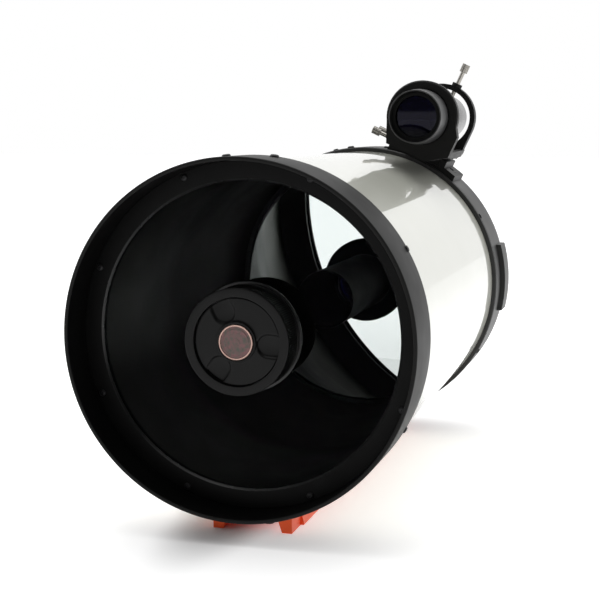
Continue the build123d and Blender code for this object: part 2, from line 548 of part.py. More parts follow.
for number, clock in enumerate(CLUTCH_CLOCKS, start=1):
    clutch_place = axial(CLUTCH_REAR, CONTROL_CIRCLE, clock)
    with BuildPart() as clutch_knob:
        knurled(clutch_place, CLUTCH_KNOB_RADIUS, CLUTCH_KNOB_LENGTH, 24, 0.8)
        rod([clutch_place], ROD_RADIUS + FIT, CLUTCH_KNOB_LENGTH - 2, mode=Mode.SUBTRACT)
    save(f"clutch_knob_{number}", clutch_knob)

# Rear port and visual back -----------------------------------------------------------------
with BuildPart() as port_adapter:
    turned(OPTICAL, (PORT_REAR, PORT_BORE), (PORT_REAR, ADAPTER_RADIUS),
           (ADAPTER_REAR - 1, ADAPTER_RADIUS), (ADAPTER_REAR, ADAPTER_RADIUS - 1),
           (ADAPTER_REAR, THREAD_RADIUS), (THREAD_REAR, THREAD_RADIUS), (THREAD_REAR, PORT_BORE))
save("port_adapter", port_adapter)

SPIGOT_FLANGE = 24.4
COUPLING_FRONT = ADAPTER_REAR + 1.0
COUPLING_REAR = THREAD_REAR + 5.0
with BuildPart() as visual_back_coupling:
    turned(OPTICAL, (COUPLING_FRONT, THREAD_RADIUS + FIT), (COUPLING_FRONT, COUPLING_RADIUS),
           (COUPLING_REAR, COUPLING_RADIUS), (COUPLING_REAR, VISUAL_BACK_RADIUS + FIT),
           (COUPLING_REAR - 2, VISUAL_BACK_RADIUS + FIT), (COUPLING_REAR - 2, THREAD_RADIUS + FIT))
    with Locations(axial(COUPLING_FRONT)):
        with PolarLocations(COUPLING_RADIUS, 60):
            Cylinder(0.6, COUPLING_REAR - COUPLING_FRONT,
                     align=(Align.CENTER, Align.CENTER, Align.MIN), mode=Mode.SUBTRACT)
save("visual_back_coupling", visual_back_coupling)

VISUAL_SCREW_STATION = VISUAL_BACK_REAR - 8.0
VISUAL_SCREW_CLOCK = -45.0
VISUAL_SCREW_RADIUS = 2.0
visual_screw_place = radial(VISUAL_SCREW_STATION, VISUAL_BACK_RADIUS, VISUAL_SCREW_CLOCK)
with BuildPart() as visual_back:
    turned(OPTICAL, (THREAD_REAR + FIT, VISUAL_BACK_BORE), (THREAD_REAR + FIT, SPIGOT_FLANGE),
           (COUPLING_REAR - 2 - FIT, SPIGOT_FLANGE), (COUPLING_REAR - 2 - FIT, VISUAL_BACK_RADIUS),
           (VISUAL_BACK_REAR, VISUAL_BACK_RADIUS), (VISUAL_BACK_REAR, VISUAL_BACK_BORE))
    rod([visual_screw_place], VISUAL_SCREW_RADIUS + FIT, 12, mode=Mode.SUBTRACT, lift=-8)
save("visual_back", visual_back)

with BuildPart() as visual_back_screw:
    rod([visual_screw_place], VISUAL_SCREW_RADIUS, 10, lift=-3.5)
    knurled(visual_screw_place.offset(4), 5.0, 8, 20, 0.5)
save("visual_back_screw", visual_back_screw)

# Secondary assembly in the middle of the corrector -------------------------------------------
HOUSING_FRONT = 12.0
HOUSING_BORE = SECONDARY_THREAD - SECONDARY_WALL
HOUSING_REAR = CORRECTOR_REAR + 5.4
SECONDARY_FLANGE_THICK = 3.0
RING_REAR = CORRECTOR_FRONT - SECONDARY_FLANGE_THICK - 0.4
with BuildPart() as secondary_housing:
    turned(OPTICAL, (HOUSING_FRONT, HOUSING_BORE), (HOUSING_FRONT, SECONDARY_THREAD),
           (CORRECTOR_FRONT - SECONDARY_FLANGE_THICK, SECONDARY_THREAD),
           (CORRECTOR_FRONT - SECONDARY_FLANGE_THICK, SECONDARY_FLANGE),
           (CORRECTOR_FRONT, SECONDARY_FLANGE), (CORRECTOR_FRONT, SECONDARY_THREAD),
           (HOUSING_REAR, SECONDARY_THREAD), (HOUSING_REAR, HOUSING_BORE))
save("secondary_housing", secondary_housing)

with BuildPart() as secondary_baffle:
    turned(OPTICAL, (CORRECTOR_REAR, SECONDARY_THREAD + FIT),
           (CORRECTOR_REAR, SECONDARY_BAFFLE_RADIUS),
           (SECONDARY_BAFFLE_REAR, SECONDARY_BAFFLE_RADIUS),
           (SECONDARY_BAFFLE_REAR, SECONDARY_BAFFLE_RADIUS - 1.6),
           (HOUSING_REAR, SECONDARY_BAFFLE_RADIUS - 1.6), (HOUSING_REAR, SECONDARY_THREAD + FIT))
save("secondary_baffle", secondary_baffle)

LIP_THICK = 3.0
CLAMP_FACE = SECONDARY_RING_FRONT + LIP_THICK
with BuildPart() as secondary_ring:
    turned(OPTICAL, (SECONDARY_RING_FRONT, SECONDARY_OPENING),
           (SECONDARY_RING_FRONT, SECONDARY_RING_RADIUS - 1),
           (SECONDARY_RING_FRONT + 1, SECONDARY_RING_RADIUS), (RING_REAR, SECONDARY_RING_RADIUS),
           (RING_REAR, SECONDARY_THREAD + FIT), (CLAMP_FACE, SECONDARY_THREAD + FIT),
           (CLAMP_FACE, SECONDARY_OPENING))
save("secondary_ring", secondary_ring)

PLATE_FRONT = 14.0
PLATE_THICK = 5.0
PIVOT_RADIUS = 5.0
TILT_GAP = 1.0
SCREW_RADIUS = 1.5
with BuildPart() as secondary_cell:
    turned(OPTICAL, (CLAMP_FACE + FIT, SECONDARY_OPENING + 0.5),
           (CLAMP_FACE + FIT, SECONDARY_THREAD - 0.2), (HOUSING_FRONT - FIT, SECONDARY_THREAD - 0.2),
           (HOUSING_FRONT - FIT, HOUSING_BORE - FIT), (PLATE_FRONT + PLATE_THICK, HOUSING_BORE - FIT),
           (PLATE_FRONT + PLATE_THICK, 0), (PLATE_FRONT, 0), (PLATE_FRONT, SECONDARY_OPENING + 0.5))
    with Locations(axial(PLATE_FRONT)):
        with PolarLocations(COLLIMATION_CIRCLE, 3):
            Cylinder(SCREW_RADIUS + FIT, PLATE_THICK,
                     align=(Align.CENTER, Align.CENTER, Align.MIN), mode=Mode.SUBTRACT)
save("secondary_cell", secondary_cell)

TILT_FRONT = PLATE_FRONT + PLATE_THICK + TILT_GAP
with BuildPart() as tilt_plate:
    rod([axial(TILT_FRONT)], SECONDARY_MIRROR_RADIUS, 4.0)
    rod([axial(TILT_FRONT - TILT_GAP + 0.1)], PIVOT_RADIUS, TILT_GAP)
save("tilt_plate", tilt_plate)

with BuildPart() as secondary_mirror:
    turned(OPTICAL, (TILT_FRONT + 4.1, 0), (TILT_FRONT + 4.1, SECONDARY_MIRROR_RADIUS),
           (TILT_FRONT + 12, SECONDARY_MIRROR_RADIUS), (TILT_FRONT + 13, SECONDARY_MIRROR_RADIUS * 0.75),
           (TILT_FRONT + 13.7, SECONDARY_MIRROR_RADIUS * 0.4), (TILT_FRONT + 14, 0))
save("secondary_mirror", secondary_mirror)

for number, clock in enumerate(COLLIMATION_CLOCKS, start=1):
    with BuildPart() as collimation_screw:
        screws([frontal(PLATE_FRONT - 0.1, COLLIMATION_CIRCLE, clock)], 2.6, 1.8,
               SCREW_RADIUS, PLATE_THICK + TILT_GAP - TOUCH)
    save(f"collimation_screw_{number}", collimation_screw)

COVER_FACE = 8.6
COVER_REAR = PLATE_FRONT - 2.4
BOSS_FRONT = 5.4
BOSS_RADIUS = MEDALLION_RADIUS + 2.3
POCKET_RADIUS = 11.0
POCKET_CIRCLE = COVER_RADIUS - POCKET_RADIUS + 0.8
POCKET_DEPTH = 2.0
with BuildPart() as secondary_cover:
    rod([axial(COVER_FACE)], COVER_RADIUS, COVER_REAR - COVER_FACE)
    rod([frontal(COVER_FACE)], BOSS_RADIUS, COVER_FACE - BOSS_FRONT)
    rod([axial(COVER_FACE, POCKET_CIRCLE, c) for c in GRIP_CLOCKS], POCKET_RADIUS, POCKET_DEPTH,
        mode=Mode.SUBTRACT)
    rod([axial(BOSS_FRONT)], MEDALLION_RADIUS + FIT, 1.2, mode=Mode.SUBTRACT)
save("secondary_cover", secondary_cover)

with BuildPart() as cover_medallion:
    rod([frontal(BOSS_FRONT + 1.2)], MEDALLION_RADIUS, 2.2)
save("cover_medallion", cover_medallion)

# Dovetail bar -----------------------------------------------------------------------------
SADDLE = CELL_RADIUS + FIT
FLARE_EDGE = 2.5
FLARE_TOP = 13.0
CHANNEL_TOP = BAR_RAIL - 3.6


def bar_section(half_width):
    """Bar outline across the tube: two rails under a plate whose top hugs the cells."""
    right = [(0, BAR_CHANNEL), (CHANNEL_TOP, BAR_CHANNEL), (BAR_RAIL, 0), (half_width, 0),
             (half_width, FLARE_EDGE), (BAR_NECK, FLARE_TOP), (BAR_NECK, 40)]
    with BuildSketch(Plane.XZ.offset(BAR_LENGTH / 2)) as section:
        with BuildLine():
            Polyline(*right, (0, 40), close=True)
        make_face()
        mirror(about=Plane.YZ)
        with Locations((0, AXIS_HEIGHT)):
            Circle(SADDLE, mode=Mode.SUBTRACT)
    return section.sketch


with BuildPart() as dovetail_bar:
    extrude(bar_section(BAR_FLARE), -BAR_LENGTH)
    for end in (-1, 1):
        for side in (-1, 1):
            with Locations((side * (BAR_NECK + 10), end * (BAR_LENGTH - BAR_FLARE_SETBACK) / 2, 0)):
                Box(20, BAR_FLARE_SETBACK, FLARE_TOP * 2, mode=Mode.SUBTRACT)
    rod(bar_screw_places, BAR_SCREW_RADIUS + FIT, 20, mode=Mode.SUBTRACT, lift=-20)
save("dovetail_bar", dovetail_bar)

with BuildPart() as dovetail_screws:
    screws(bar_screw_places, BAR_SCREW_HEAD, BAR_SCREW_HEIGHT, BAR_SCREW_RADIUS, BAR_SCREW_GRIP)
save("dovetail_screws", dovetail_screws)

# Finder base on the rear cell ----------------------------------------------------------------
FOOT_BOTTOM = BASE_TOP - GROOVE_DEPTH
CLAMP_SINK = 4.5
CLAMP_HEIGHT = BASE_TOP - CLAMP_SINK
CLAMP_STATIONS = (BASE_FRONT + 16.0, BASE_FRONT + 48.0)
CLAMP_RADIUS = 2.5
FOOT_SLOPE = (FOOT_SPREAD - FOOT_NECK) / GROOVE_DEPTH
CLAMP_TIP = FOOT_NECK + FOOT_SLOPE * (CLAMP_SINK + CLAMP_RADIUS) + TOUCH
CLAMP_REACH = 71.0
LEFTWARDS = outward(FINDER_CLOCK - 90)


def across_base(distance, side):
    """Plane facing left across the finder's base, `side` from its middle."""
    start = beside_finder(distance, -side, CLAMP_HEIGHT).origin
    return Plane(origin=start, x_dir=(0, 1, 0), z_dir=LEFTWARDS)


base_front_plane = Plane(origin=beside_finder(BASE_FRONT, 0, 0).origin,
                         x_dir=outward(FINDER_CLOCK + 90), z_dir=(0, -1, 0))


def groove_outline(gap):
    """Dovetail outline of the foot, or with a gap, of the groove that it slides in."""
    return [(-FOOT_NECK - gap, BASE_TOP + gap), (-FOOT_SPREAD - gap, FOOT_BOTTOM - gap),
            (FOOT_SPREAD + gap, FOOT_BOTTOM - gap), (FOOT_NECK + gap, BASE_TOP + gap)]


with BuildPart() as finder_base:
    with BuildSketch(base_front_plane) as base_sketch:
        Circle(SADDLE_RADIUS)
        with Locations((-BASE_LEFT, BASE_TOP)):
            Rectangle(BASE_LEFT + BASE_RIGHT, 60, align=(Align.MIN, Align.MAX), mode=Mode.INTERSECT)
        with Locations((0, BASE_TOP)):
            Rectangle(2 * BASE_BLOCK, 25, align=(Align.CENTER, Align.MAX))
        Circle(CELL_RADIUS + FIT, mode=Mode.SUBTRACT)
        with BuildLine():
            Polyline(*groove_outline(TOUCH), close=True)
        make_face(mode=Mode.SUBTRACT)
    extrude(base_sketch.sketch, -BASE_LENGTH)
    rod(base_screw_places, 5, BASE_SCREW_SEAT + 3, mode=Mode.SUBTRACT)
    rod(base_screw_places, BASE_SCREW_RADIUS + FIT, 30, mode=Mode.SUBTRACT, lift=-30)
    rod([across_base(s, FOOT_NECK - 5) for s in CLAMP_STATIONS], CLAMP_RADIUS + FIT, 40,
        mode=Mode.SUBTRACT)
save("finder_base", finder_base)

with BuildPart() as finder_base_screws:
    screws(base_screw_places, 4.5, BASE_SCREW_SEAT - 0.5, BASE_SCREW_RADIUS, BASE_SCREW_DEPTH)
save("finder_base_screws", finder_base_screws)

for number, clamp_station in enumerate(CLAMP_STATIONS, start=1):
    with BuildPart() as clamp_screw:
        rod([across_base(clamp_station, CLAMP_TIP)], CLAMP_RADIUS, CLAMP_REACH - CLAMP_TIP - 1)
        thumb_head(across_base(clamp_station, 0), CLAMP_REACH)
    save(f"clamp_screw_{number}", clamp_screw)

# Finder bracket -----------------------------------------------------------------------------
FINDER = parallel(FINDER_REACH, FINDER_CLOCK)
O_RING_CENTRE = FINDER_TUBE_RADIUS + FIT + O_RING_SECTION
RING_HALF = FINDER_RING_WIDTH / 2
FRONT_RING_BORE = O_RING_CENTRE + O_RING_SECTION + FIT
SPINE_TOP = 34.0             # distance of the spine's top below the finder's axis
SPINE_DEPTH = 9.0
SPINE_HALF_WIDTH = 24.0
PLATE_TOP = 31.0             # foot plate under the rear ring, from the finder's axis down
PLATE_BOTTOM = 38.5
PLATE_CORNER = 6.0           # chamfer of the plate's lower corners
FOOT_PLATE_HALF = 32.0       # half width of the plate that carries the foot
YOKE_SHOULDER = 45.5         # reach of the front ring's shoulder, on the right alone
YOKE_BOTTOM = 28.5
YOKE_LEFT = (38.2, 10.6)     # where the yoke's left side leaves the ring, across and down
RAIL_THICK = 4.0             # side rail from the shoulder back to the rear ring
RAIL_TOP = 22.5
RAIL_REAR = 40.8             # reach of the rail at the rear ring
ALIGN_RADIUS = 2.5
ALIGN_TIP = FINDER_TUBE_RADIUS + 0.1
BOSS_REACH = 43.5
TOP_SCREW_REACH = 68.0
SIDE_SCREW_REACH = 61.0
PLUNGER_CLOCK = FINDER_CLOCK + 135.0
PLUNGER_RADIUS = 4.5
PLUNGER_REACH = 51.0
PIN_RADIUS = 2.2
PIN_GAP = 1.2
FOOT_LENGTH = BASE_LENGTH - 4.0


def around_finder(distance, reach, clock):
    """Plane facing away from the finder's axis at a clock angle, `reach` from it."""
    centre = radial(distance, FINDER_REACH, FINDER_CLOCK).origin + outward(clock) * reach
    return Plane(origin=centre, x_dir=(0, 1, 0), z_dir=outward(clock))


def below_finder(distance):
    """Plane facing rear on the finder's axis, with its y pointing at the tube."""
    return Plane(origin=radial(distance, FINDER_REACH, FINDER_CLOCK).origin,
                 x_dir=outward(FINDER_CLOCK + 90), z_dir=(0, 1, 0))


def both_sides(*right):
    """The outline whose right half is given, with its mirror image."""
    return [*right, *[(-across, down) for across, down in reversed(right)]]


def plate_outline(top):
    """Straight-sided web that hangs from the rear ring, from `top` below the finder's axis."""
    return both_sides((FINDER_RING_RADIUS, top), (FINDER_RING_RADIUS, PLATE_BOTTOM - PLATE_CORNER),
                      (FINDER_RING_RADIUS - PLATE_CORNER, PLATE_BOTTOM))


RAIL_LENGTH = FINDER_REAR_RING - FINDER_FRONT_RING
rail_start = radial(FINDER_FRONT_RING, FINDER_REACH, FINDER_CLOCK).origin
rail_side = outward(FINDER_CLOCK + 90)
rail_way = Vector(0, RAIL_LENGTH, 0) - rail_side * (YOKE_SHOULDER - RAIL_REAR)
rail_plane = Plane(origin=rail_start + rail_side * YOKE_SHOULDER, x_dir=rail_way,
                   z_dir=rail_way.cross(outward(FINDER_CLOCK)))
align_places = {
    "top": (around_finder(FINDER_REAR_RING, 0, FINDER_CLOCK), TOP_SCREW_REACH),
    "side": (around_finder(FINDER_REAR_RING, 0, FINDER_CLOCK - 90), SIDE_SCREW_REACH),
}
plunger_place = around_finder(FINDER_REAR_RING, 0, PLUNGER_CLOCK)

with BuildPart() as finder_bracket:
    turned(FINDER, (FINDER_FRONT_RING - RING_HALF, FRONT_RING_BORE),
           (FINDER_FRONT_RING - RING_HALF, FINDER_RING_RADIUS - 1.5),
           (FINDER_FRONT_RING - RING_HALF + 1.5, FINDER_RING_RADIUS),
           (FINDER_FRONT_RING + RING_HALF - 1.5, FINDER_RING_RADIUS),
           (FINDER_FRONT_RING + RING_HALF, FINDER_RING_RADIUS - 1.5),
           (FINDER_FRONT_RING + RING_HALF, FRONT_RING_BORE))
    turned(FINDER, (FINDER_REAR_RING - RING_HALF, FINDER_REAR_BORE),
           (FINDER_REAR_RING - RING_HALF, FINDER_RING_RADIUS),
           (FINDER_REAR_RING + RING_HALF, FINDER_RING_RADIUS),
           (FINDER_REAR_RING + RING_HALF, FINDER_REAR_BORE))
    for place, reach in align_places.values():
        rod([place], RING_HALF - 0.5, BOSS_REACH - FINDER_REAR_BORE - 1, lift=FINDER_REAR_BORE + 1)
    with BuildSketch(below_finder(FINDER_FRONT_RING - RING_HALF)) as yoke:
        with BuildLine():
            Polyline((FINDER_RING_RADIUS - 1, -6), (YOKE_SHOULDER, 4), (YOKE_SHOULDER, YOKE_BOTTOM),
                     (SPINE_HALF_WIDTH, SPINE_TOP + SPINE_DEPTH),
                     (-SPINE_HALF_WIDTH, SPINE_TOP + SPINE_DEPTH),
                     (-YOKE_LEFT[0], YOKE_LEFT[1]), close=True)
        make_face()
        Circle(FRONT_RING_BORE, mode=Mode.SUBTRACT)
    extrude(yoke.sketch, FINDER_RING_WIDTH)
    with BuildSketch(below_finder(FINDER_FRONT_RING)) as spine:
        with Locations((0, SPINE_TOP)):
            Rectangle(2 * SPINE_HALF_WIDTH, SPINE_DEPTH, align=(Align.CENTER, Align.MIN))
    extrude(spine.sketch, BASE_FRONT + FOOT_LENGTH - FINDER_FRONT_RING)
    with BuildSketch(below_finder(FINDER_REAR_RING - RING_HALF)) as web:
        with BuildLine():
            Polyline(*plate_outline(0), close=True)
        make_face()
        Circle(FINDER_REAR_BORE, mode=Mode.SUBTRACT)
    extrude(web.sketch, FINDER_RING_WIDTH)
    with BuildSketch(below_finder(FINDER_REAR_RING - RING_HALF)) as foot_plate:
        with Locations((0, PLATE_TOP)):
            Rectangle(2 * FOOT_PLATE_HALF, PLATE_BOTTOM - PLATE_TOP, align=(Align.CENTER, Align.MIN))
        Circle(FINDER_REAR_BORE - 2, mode=Mode.SUBTRACT)
    extrude(foot_plate.sketch, BASE_FRONT + FOOT_LENGTH - FINDER_REAR_RING + RING_HALF)
    with BuildSketch(rail_plane) as rail:
        with BuildLine():
            Polyline((-RING_HALF, -RAIL_TOP), (RAIL_LENGTH + RING_HALF, -RAIL_TOP - 1),
                     (RAIL_LENGTH + RING_HALF, -RAIL_TOP - 7), (RAIL_LENGTH - RING_HALF, -RAIL_TOP - 7),
                     (RAIL_LENGTH * 0.72, -RAIL_TOP - 11), (-RING_HALF, -YOKE_BOTTOM), close=True)
        make_face()
    extrude(rail.sketch, -RAIL_THICK)
    with BuildSketch(base_front_plane) as foot:
        with BuildLine():
            Polyline(*groove_outline(0), close=True)
        make_face()
        with BuildLine():
            Polyline(*both_sides((FOOT_NECK, BASE_TOP), (FOOT_NECK, FINDER_REACH - PLATE_BOTTOM + 1)),
                     close=True)
        make_face()
    extrude(foot.sketch, -FOOT_LENGTH)
    for place, _ in align_places.values():
        rod([place], ALIGN_RADIUS + FIT, BOSS_REACH + 2, mode=Mode.SUBTRACT)
    rod([plunger_place], PLUNGER_RADIUS + FIT, 30, mode=Mode.SUBTRACT, lift=FINDER_REAR_BORE - 4)
save("finder_bracket", finder_bracket)

with BuildPart() as finder_o_ring:
    with BuildSketch(FINDER) as o_ring_section:
        with Locations((FINDER_FRONT_RING, O_RING_CENTRE)):
            Circle(O_RING_SECTION)
    revolve(axis=Axis(FINDER.origin, FINDER.x_dir))
save("finder_o_ring", finder_o_ring)

for name, (place, reach) in align_places.items():
    with BuildPart() as align_screw:
        rod([place], ALIGN_RADIUS, reach - ALIGN_TIP - 1, lift=ALIGN_TIP)
        thumb_head(place, reach)
    save(f"finder_screw_{name}", align_screw)

with BuildPart() as plunger_housing:
    rod([plunger_place], PLUNGER_RADIUS, PLUNGER_REACH - FINDER_REAR_BORE - 1,
        lift=FINDER_REAR_BORE + 1)
    rod([plunger_place], PIN_RADIUS + FIT, 13, mode=Mode.SUBTRACT, lift=FINDER_REAR_BORE)
save("plunger_housing", plunger_housing)

with BuildPart() as plunger_pin:
    rod([plunger_place], PIN_RADIUS, 14, lift=FINDER_TUBE_RADIUS + PIN_GAP)
save("plunger_pin", plunger_pin)

# Finder ---------------------------------------------------------------------------------------
OBJECTIVE_BORE = 25.5
OBJECTIVE_REAR = FINDER_FRONT_RING - RING_HALF - 4.6
LOCK_THICK = 3.6
LOCK_NOTCHES = 36
LOCK_NOTCH_RADIUS = 0.6
TUBE_START = FINDER_RIM + 20.0
FINDER_BORE = FINDER_TUBE_RADIUS - 1.5
LENS_FRONT = FINDER_RIM + 10.0
with BuildPart() as finder_tube:
    turned(FINDER, (TUBE_START, FINDER_TUBE_RADIUS), (FINDER_REAR - 32, FINDER_TUBE_RADIUS),
           (FINDER_REAR - 22, 18), (FINDER_REAR, 18), (FINDER_REAR, 13.5),
           (FINDER_REAR - 20, 13.5), (FINDER_REAR - 32, FINDER_BORE), (TUBE_START, FINDER_BORE))
save("finder_tube", finder_tube)

with BuildPart() as finder_objective_cell:
    turned(FINDER, (FINDER_RIM, FINDER_CELL_RADIUS - 1.4), (FINDER_RIM, FINDER_CELL_RADIUS - 0.6),
           (FINDER_RIM + 0.6, FINDER_CELL_RADIUS), (OBJECTIVE_REAR, FINDER_CELL_RADIUS),
           (OBJECTIVE_REAR, FINDER_TUBE_RADIUS + FIT), (TUBE_START - 1, FINDER_TUBE_RADIUS + FIT),
           (TUBE_START - 1, OBJECTIVE_BORE - 1.5), (LENS_FRONT + 7, OBJECTIVE_BORE - 1.5),
           (LENS_FRONT + 7, OBJECTIVE_BORE + FIT), (LENS_FRONT - 3, OBJECTIVE_BORE + FIT),
           (LENS_FRONT - 3, FINDER_CELL_RADIUS - 3))
save("finder_objective_cell", finder_objective_cell)

with BuildPart() as finder_objective_lens:
    turned(FINDER, (LENS_FRONT - 2, 0), (LENS_FRONT - 1.4, OBJECTIVE_BORE * 0.55),
           (LENS_FRONT, OBJECTIVE_BORE), (LENS_FRONT + 7, OBJECTIVE_BORE), (LENS_FRONT + 7, 0))
save("finder_objective_lens", finder_objective_lens)

with BuildPart() as finder_lock_ring:
    turned(FINDER, (OBJECTIVE_REAR + 0.3, FINDER_TUBE_RADIUS + FIT),
           (OBJECTIVE_REAR + 0.3, FINDER_CELL_RADIUS), (OBJECTIVE_REAR + LOCK_THICK, FINDER_CELL_RADIUS),
           (OBJECTIVE_REAR + LOCK_THICK, FINDER_TUBE_RADIUS + FIT))
    with Locations(axial(OBJECTIVE_REAR, FINDER_REACH, FINDER_CLOCK)):
        with PolarLocations(FINDER_CELL_RADIUS, LOCK_NOTCHES):
            Cylinder(LOCK_NOTCH_RADIUS, 3 * LOCK_THICK, mode=Mode.SUBTRACT)
save("finder_lock_ring", finder_lock_ring)

EYE_RADIUS = 17.5
with BuildPart() as finder_eyepiece:
    turned(FINDER, (FINDER_REAR - 8, 10), (FINDER_REAR - 8, 13.4), (FINDER_REAR + 0.3, 13.4),
           (FINDER_REAR + 0.3, EYE_RADIUS), (FINDER_REAR + 18, EYE_RADIUS),
           (FINDER_REAR + 22, EYE_RADIUS - 3), (FINDER_REAR + 22, 10))
save("finder_eyepiece", finder_eyepiece)

with BuildPart() as finder_eye_lens:
    turned(FINDER, (FINDER_REAR + 8, 0), (FINDER_REAR + 8, 10), (FINDER_REAR + 11, 10),
           (FINDER_REAR + 13, 0))
save("finder_eye_lens", finder_eye_lens)
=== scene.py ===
import json
from math import cos, pi, radians, sin, sqrt, tan

import bmesh
import bpy
from mathutils import Matrix, Vector


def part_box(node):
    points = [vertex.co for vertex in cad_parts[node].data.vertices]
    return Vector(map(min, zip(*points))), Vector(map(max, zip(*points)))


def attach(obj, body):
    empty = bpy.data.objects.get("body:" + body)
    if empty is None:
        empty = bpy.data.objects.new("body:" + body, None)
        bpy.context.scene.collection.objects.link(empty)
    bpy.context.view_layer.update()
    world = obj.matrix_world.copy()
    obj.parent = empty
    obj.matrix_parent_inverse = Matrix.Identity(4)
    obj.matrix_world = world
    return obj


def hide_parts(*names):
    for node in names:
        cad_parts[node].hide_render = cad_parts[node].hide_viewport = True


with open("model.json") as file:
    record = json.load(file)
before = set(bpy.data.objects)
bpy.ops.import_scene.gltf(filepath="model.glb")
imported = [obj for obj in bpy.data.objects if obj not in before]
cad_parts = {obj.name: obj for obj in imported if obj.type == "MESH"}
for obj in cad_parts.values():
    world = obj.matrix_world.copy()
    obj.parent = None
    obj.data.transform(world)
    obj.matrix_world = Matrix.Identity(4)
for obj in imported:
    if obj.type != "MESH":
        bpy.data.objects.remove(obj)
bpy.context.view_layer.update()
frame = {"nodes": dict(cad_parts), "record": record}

MM = 0.001
AXIS_HEIGHT = 182.7             # optical axis over the bar's resting plane, mm
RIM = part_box("front_cell")[0].y / MM   # the front cell's rim along Y, mm


# ---------------------------------------------------------------- finishes

def linear(code):
    """A colour from its sRGB hex code, with alpha."""
    parts = [int(code[k:k + 2], 16) / 255 for k in (0, 2, 4)]
    return [c / 12.92 if c <= 0.04045 else ((c + 0.055) / 1.055) ** 2.4 for c in parts] + [1.0]


def add(tree, kind, inputs=None, **settings):
    """Adds a node. inputs gives each socket a value, or the output that feeds it."""
    made = tree.nodes.new(kind)
    for name, value in settings.items():
        setattr(made, name, value)
    for socket, value in (inputs or {}).items():
        if isinstance(value, bpy.types.NodeSocket):
            tree.links.new(value, made.inputs[socket])
        else:
            made.inputs[socket].default_value = value
    return made


def finish(name, colours, rough, patch=30.0, grain=2.5, depth=0.01, stretch=(1, 1, 1), turned=0.0, **shader):
    """A finish of two close colours and two roughnesses that mingle in patches (mm), over a grain (mm)
    that stands up by depth (mm). turned adds the fine rings a lathe leaves round Y, that far apart (mm)."""
    made = bpy.data.materials.new(name)
    made.use_nodes = True
    tree = made.node_tree
    tree.nodes.clear()
    place = add(tree, "ShaderNodeTexCoord").outputs["Object"]
    place = add(tree, "ShaderNodeMapping",
                {"Vector": place, "Location": (0, 0, -AXIS_HEIGHT * MM)}).outputs["Vector"]
    drawn = add(tree, "ShaderNodeMapping", {"Vector": place, "Scale": stretch}).outputs["Vector"]
    cloud = add(tree, "ShaderNodeTexNoise",
                {"Vector": drawn, "Scale": 1 / (patch * MM), "Detail": 3.0}).outputs["Fac"]
    fine = add(tree, "ShaderNodeTexNoise",
               {"Vector": drawn, "Scale": 1 / (grain * MM), "Detail": 2.0}).outputs["Fac"]
    colour = add(tree, "ShaderNodeMix", {0: cloud, 6: linear(colours[0]), 7: linear(colours[1])},
                 data_type="RGBA").outputs[2]
    gloss = add(tree, "ShaderNodeMapRange",
                {"Value": cloud, "From Min": 0.3, "From Max": 0.7, "To Min": rough[0], "To Max": rough[1]})
    if turned:
        rings = add(tree, "ShaderNodeTexWave",
                    {"Vector": place, "Scale": 0.3 / (turned * MM), "Distortion": 0.4, "Detail": 1.0},
                    wave_type="BANDS", bands_direction="Y").outputs["Fac"]
        fine = add(tree, "ShaderNodeMath", {0: rings, 1: fine}, operation="ADD").outputs[0]
    bump = add(tree, "ShaderNodeBump", {"Height": fine, "Distance": depth * MM, "Strength": 1.0})
    values = {"Base Color": colour, "Roughness": gloss.outputs[0], "Normal": bump.outputs[0]}
    values.update({key.replace("_", " "): value for key, value in shader.items()})
    surface = add(tree, "ShaderNodeBsdfPrincipled", values)
    add(tree, "ShaderNodeOutputMaterial", {"Surface": surface.outputs[0]})
    return made


GLASS_IOR, COAT_BLUE, GLASS_CLOUDS = 1.5, 1.2, 14.0


def clear_glass(name, tint, coat, reflect):
    """Coated glass, tinted and mottled with its coat: reflect scales what its faces mirror, as a coating
    against glare does. Lamps shine through it without bending."""
    made = bpy.data.materials.new(name)
    made.use_nodes = True
    tree = made.node_tree
    tree.nodes.clear()
    place = add(tree, "ShaderNodeTexCoord").outputs["Object"]
    cloud = add(tree, "ShaderNodeTexNoise",
                {"Vector": place, "Scale": GLASS_CLOUDS, "Detail": 1.0}).outputs["Fac"]
    colour = add(tree, "ShaderNodeMix", {0: cloud, 6: linear(tint), 7: linear(coat)},
                 data_type="RGBA").outputs[2]
    glass = add(tree, "ShaderNodeBsdfPrincipled",
                {"Base Color": colour, "Roughness": 0.0, "IOR": GLASS_IOR, "Transmission Weight": 1.0,
                 "Specular Tint": (reflect, reflect, reflect * COAT_BLUE, 1.0)}).outputs[0]
    ray = add(tree, "ShaderNodeLightPath").outputs["Is Shadow Ray"]
    gap = add(tree, "ShaderNodeBsdfTransparent", {"Color": linear(tint)}).outputs[0]
    mixed = add(tree, "ShaderNodeMixShader", {0: ray, 1: glass, 2: gap}).outputs[0]
    add(tree, "ShaderNodeOutputMaterial", {"Surface": mixed})
    return made


# Pearl enamel, sprayed under clear lacquer: a warm white that mirrors the room softly at a slant.
PEARL = finish("pearl_enamel", ("DEDFD4", "D9DACE"), (0.30, 0.36), patch=90, grain=1.6, depth=0.002,
               Coat_Weight=1.0, Coat_Roughness=0.03, Coat_IOR=1.55)
# Satin powder coat on cast aluminium: nearly black, with a soft highlight broken by its orange peel.
POWDER = finish("satin_powder_coat", ("101010", "161615"), (0.44, 0.52), patch=40, grain=2.4, depth=0.010,
                Specular_IOR_Level=0.14)
# The same coat on the rear casting, painted a lighter grey with a stronger sheen: painted light on its rim
# and pads.
POWDER_PAINTED_LIGHT = finish("powder_coat_painted_light", ("1C1C1C", "232322"), (0.42, 0.50), patch=40, grain=2.4, depth=0.010,
                Specular_IOR_Level=0.4)
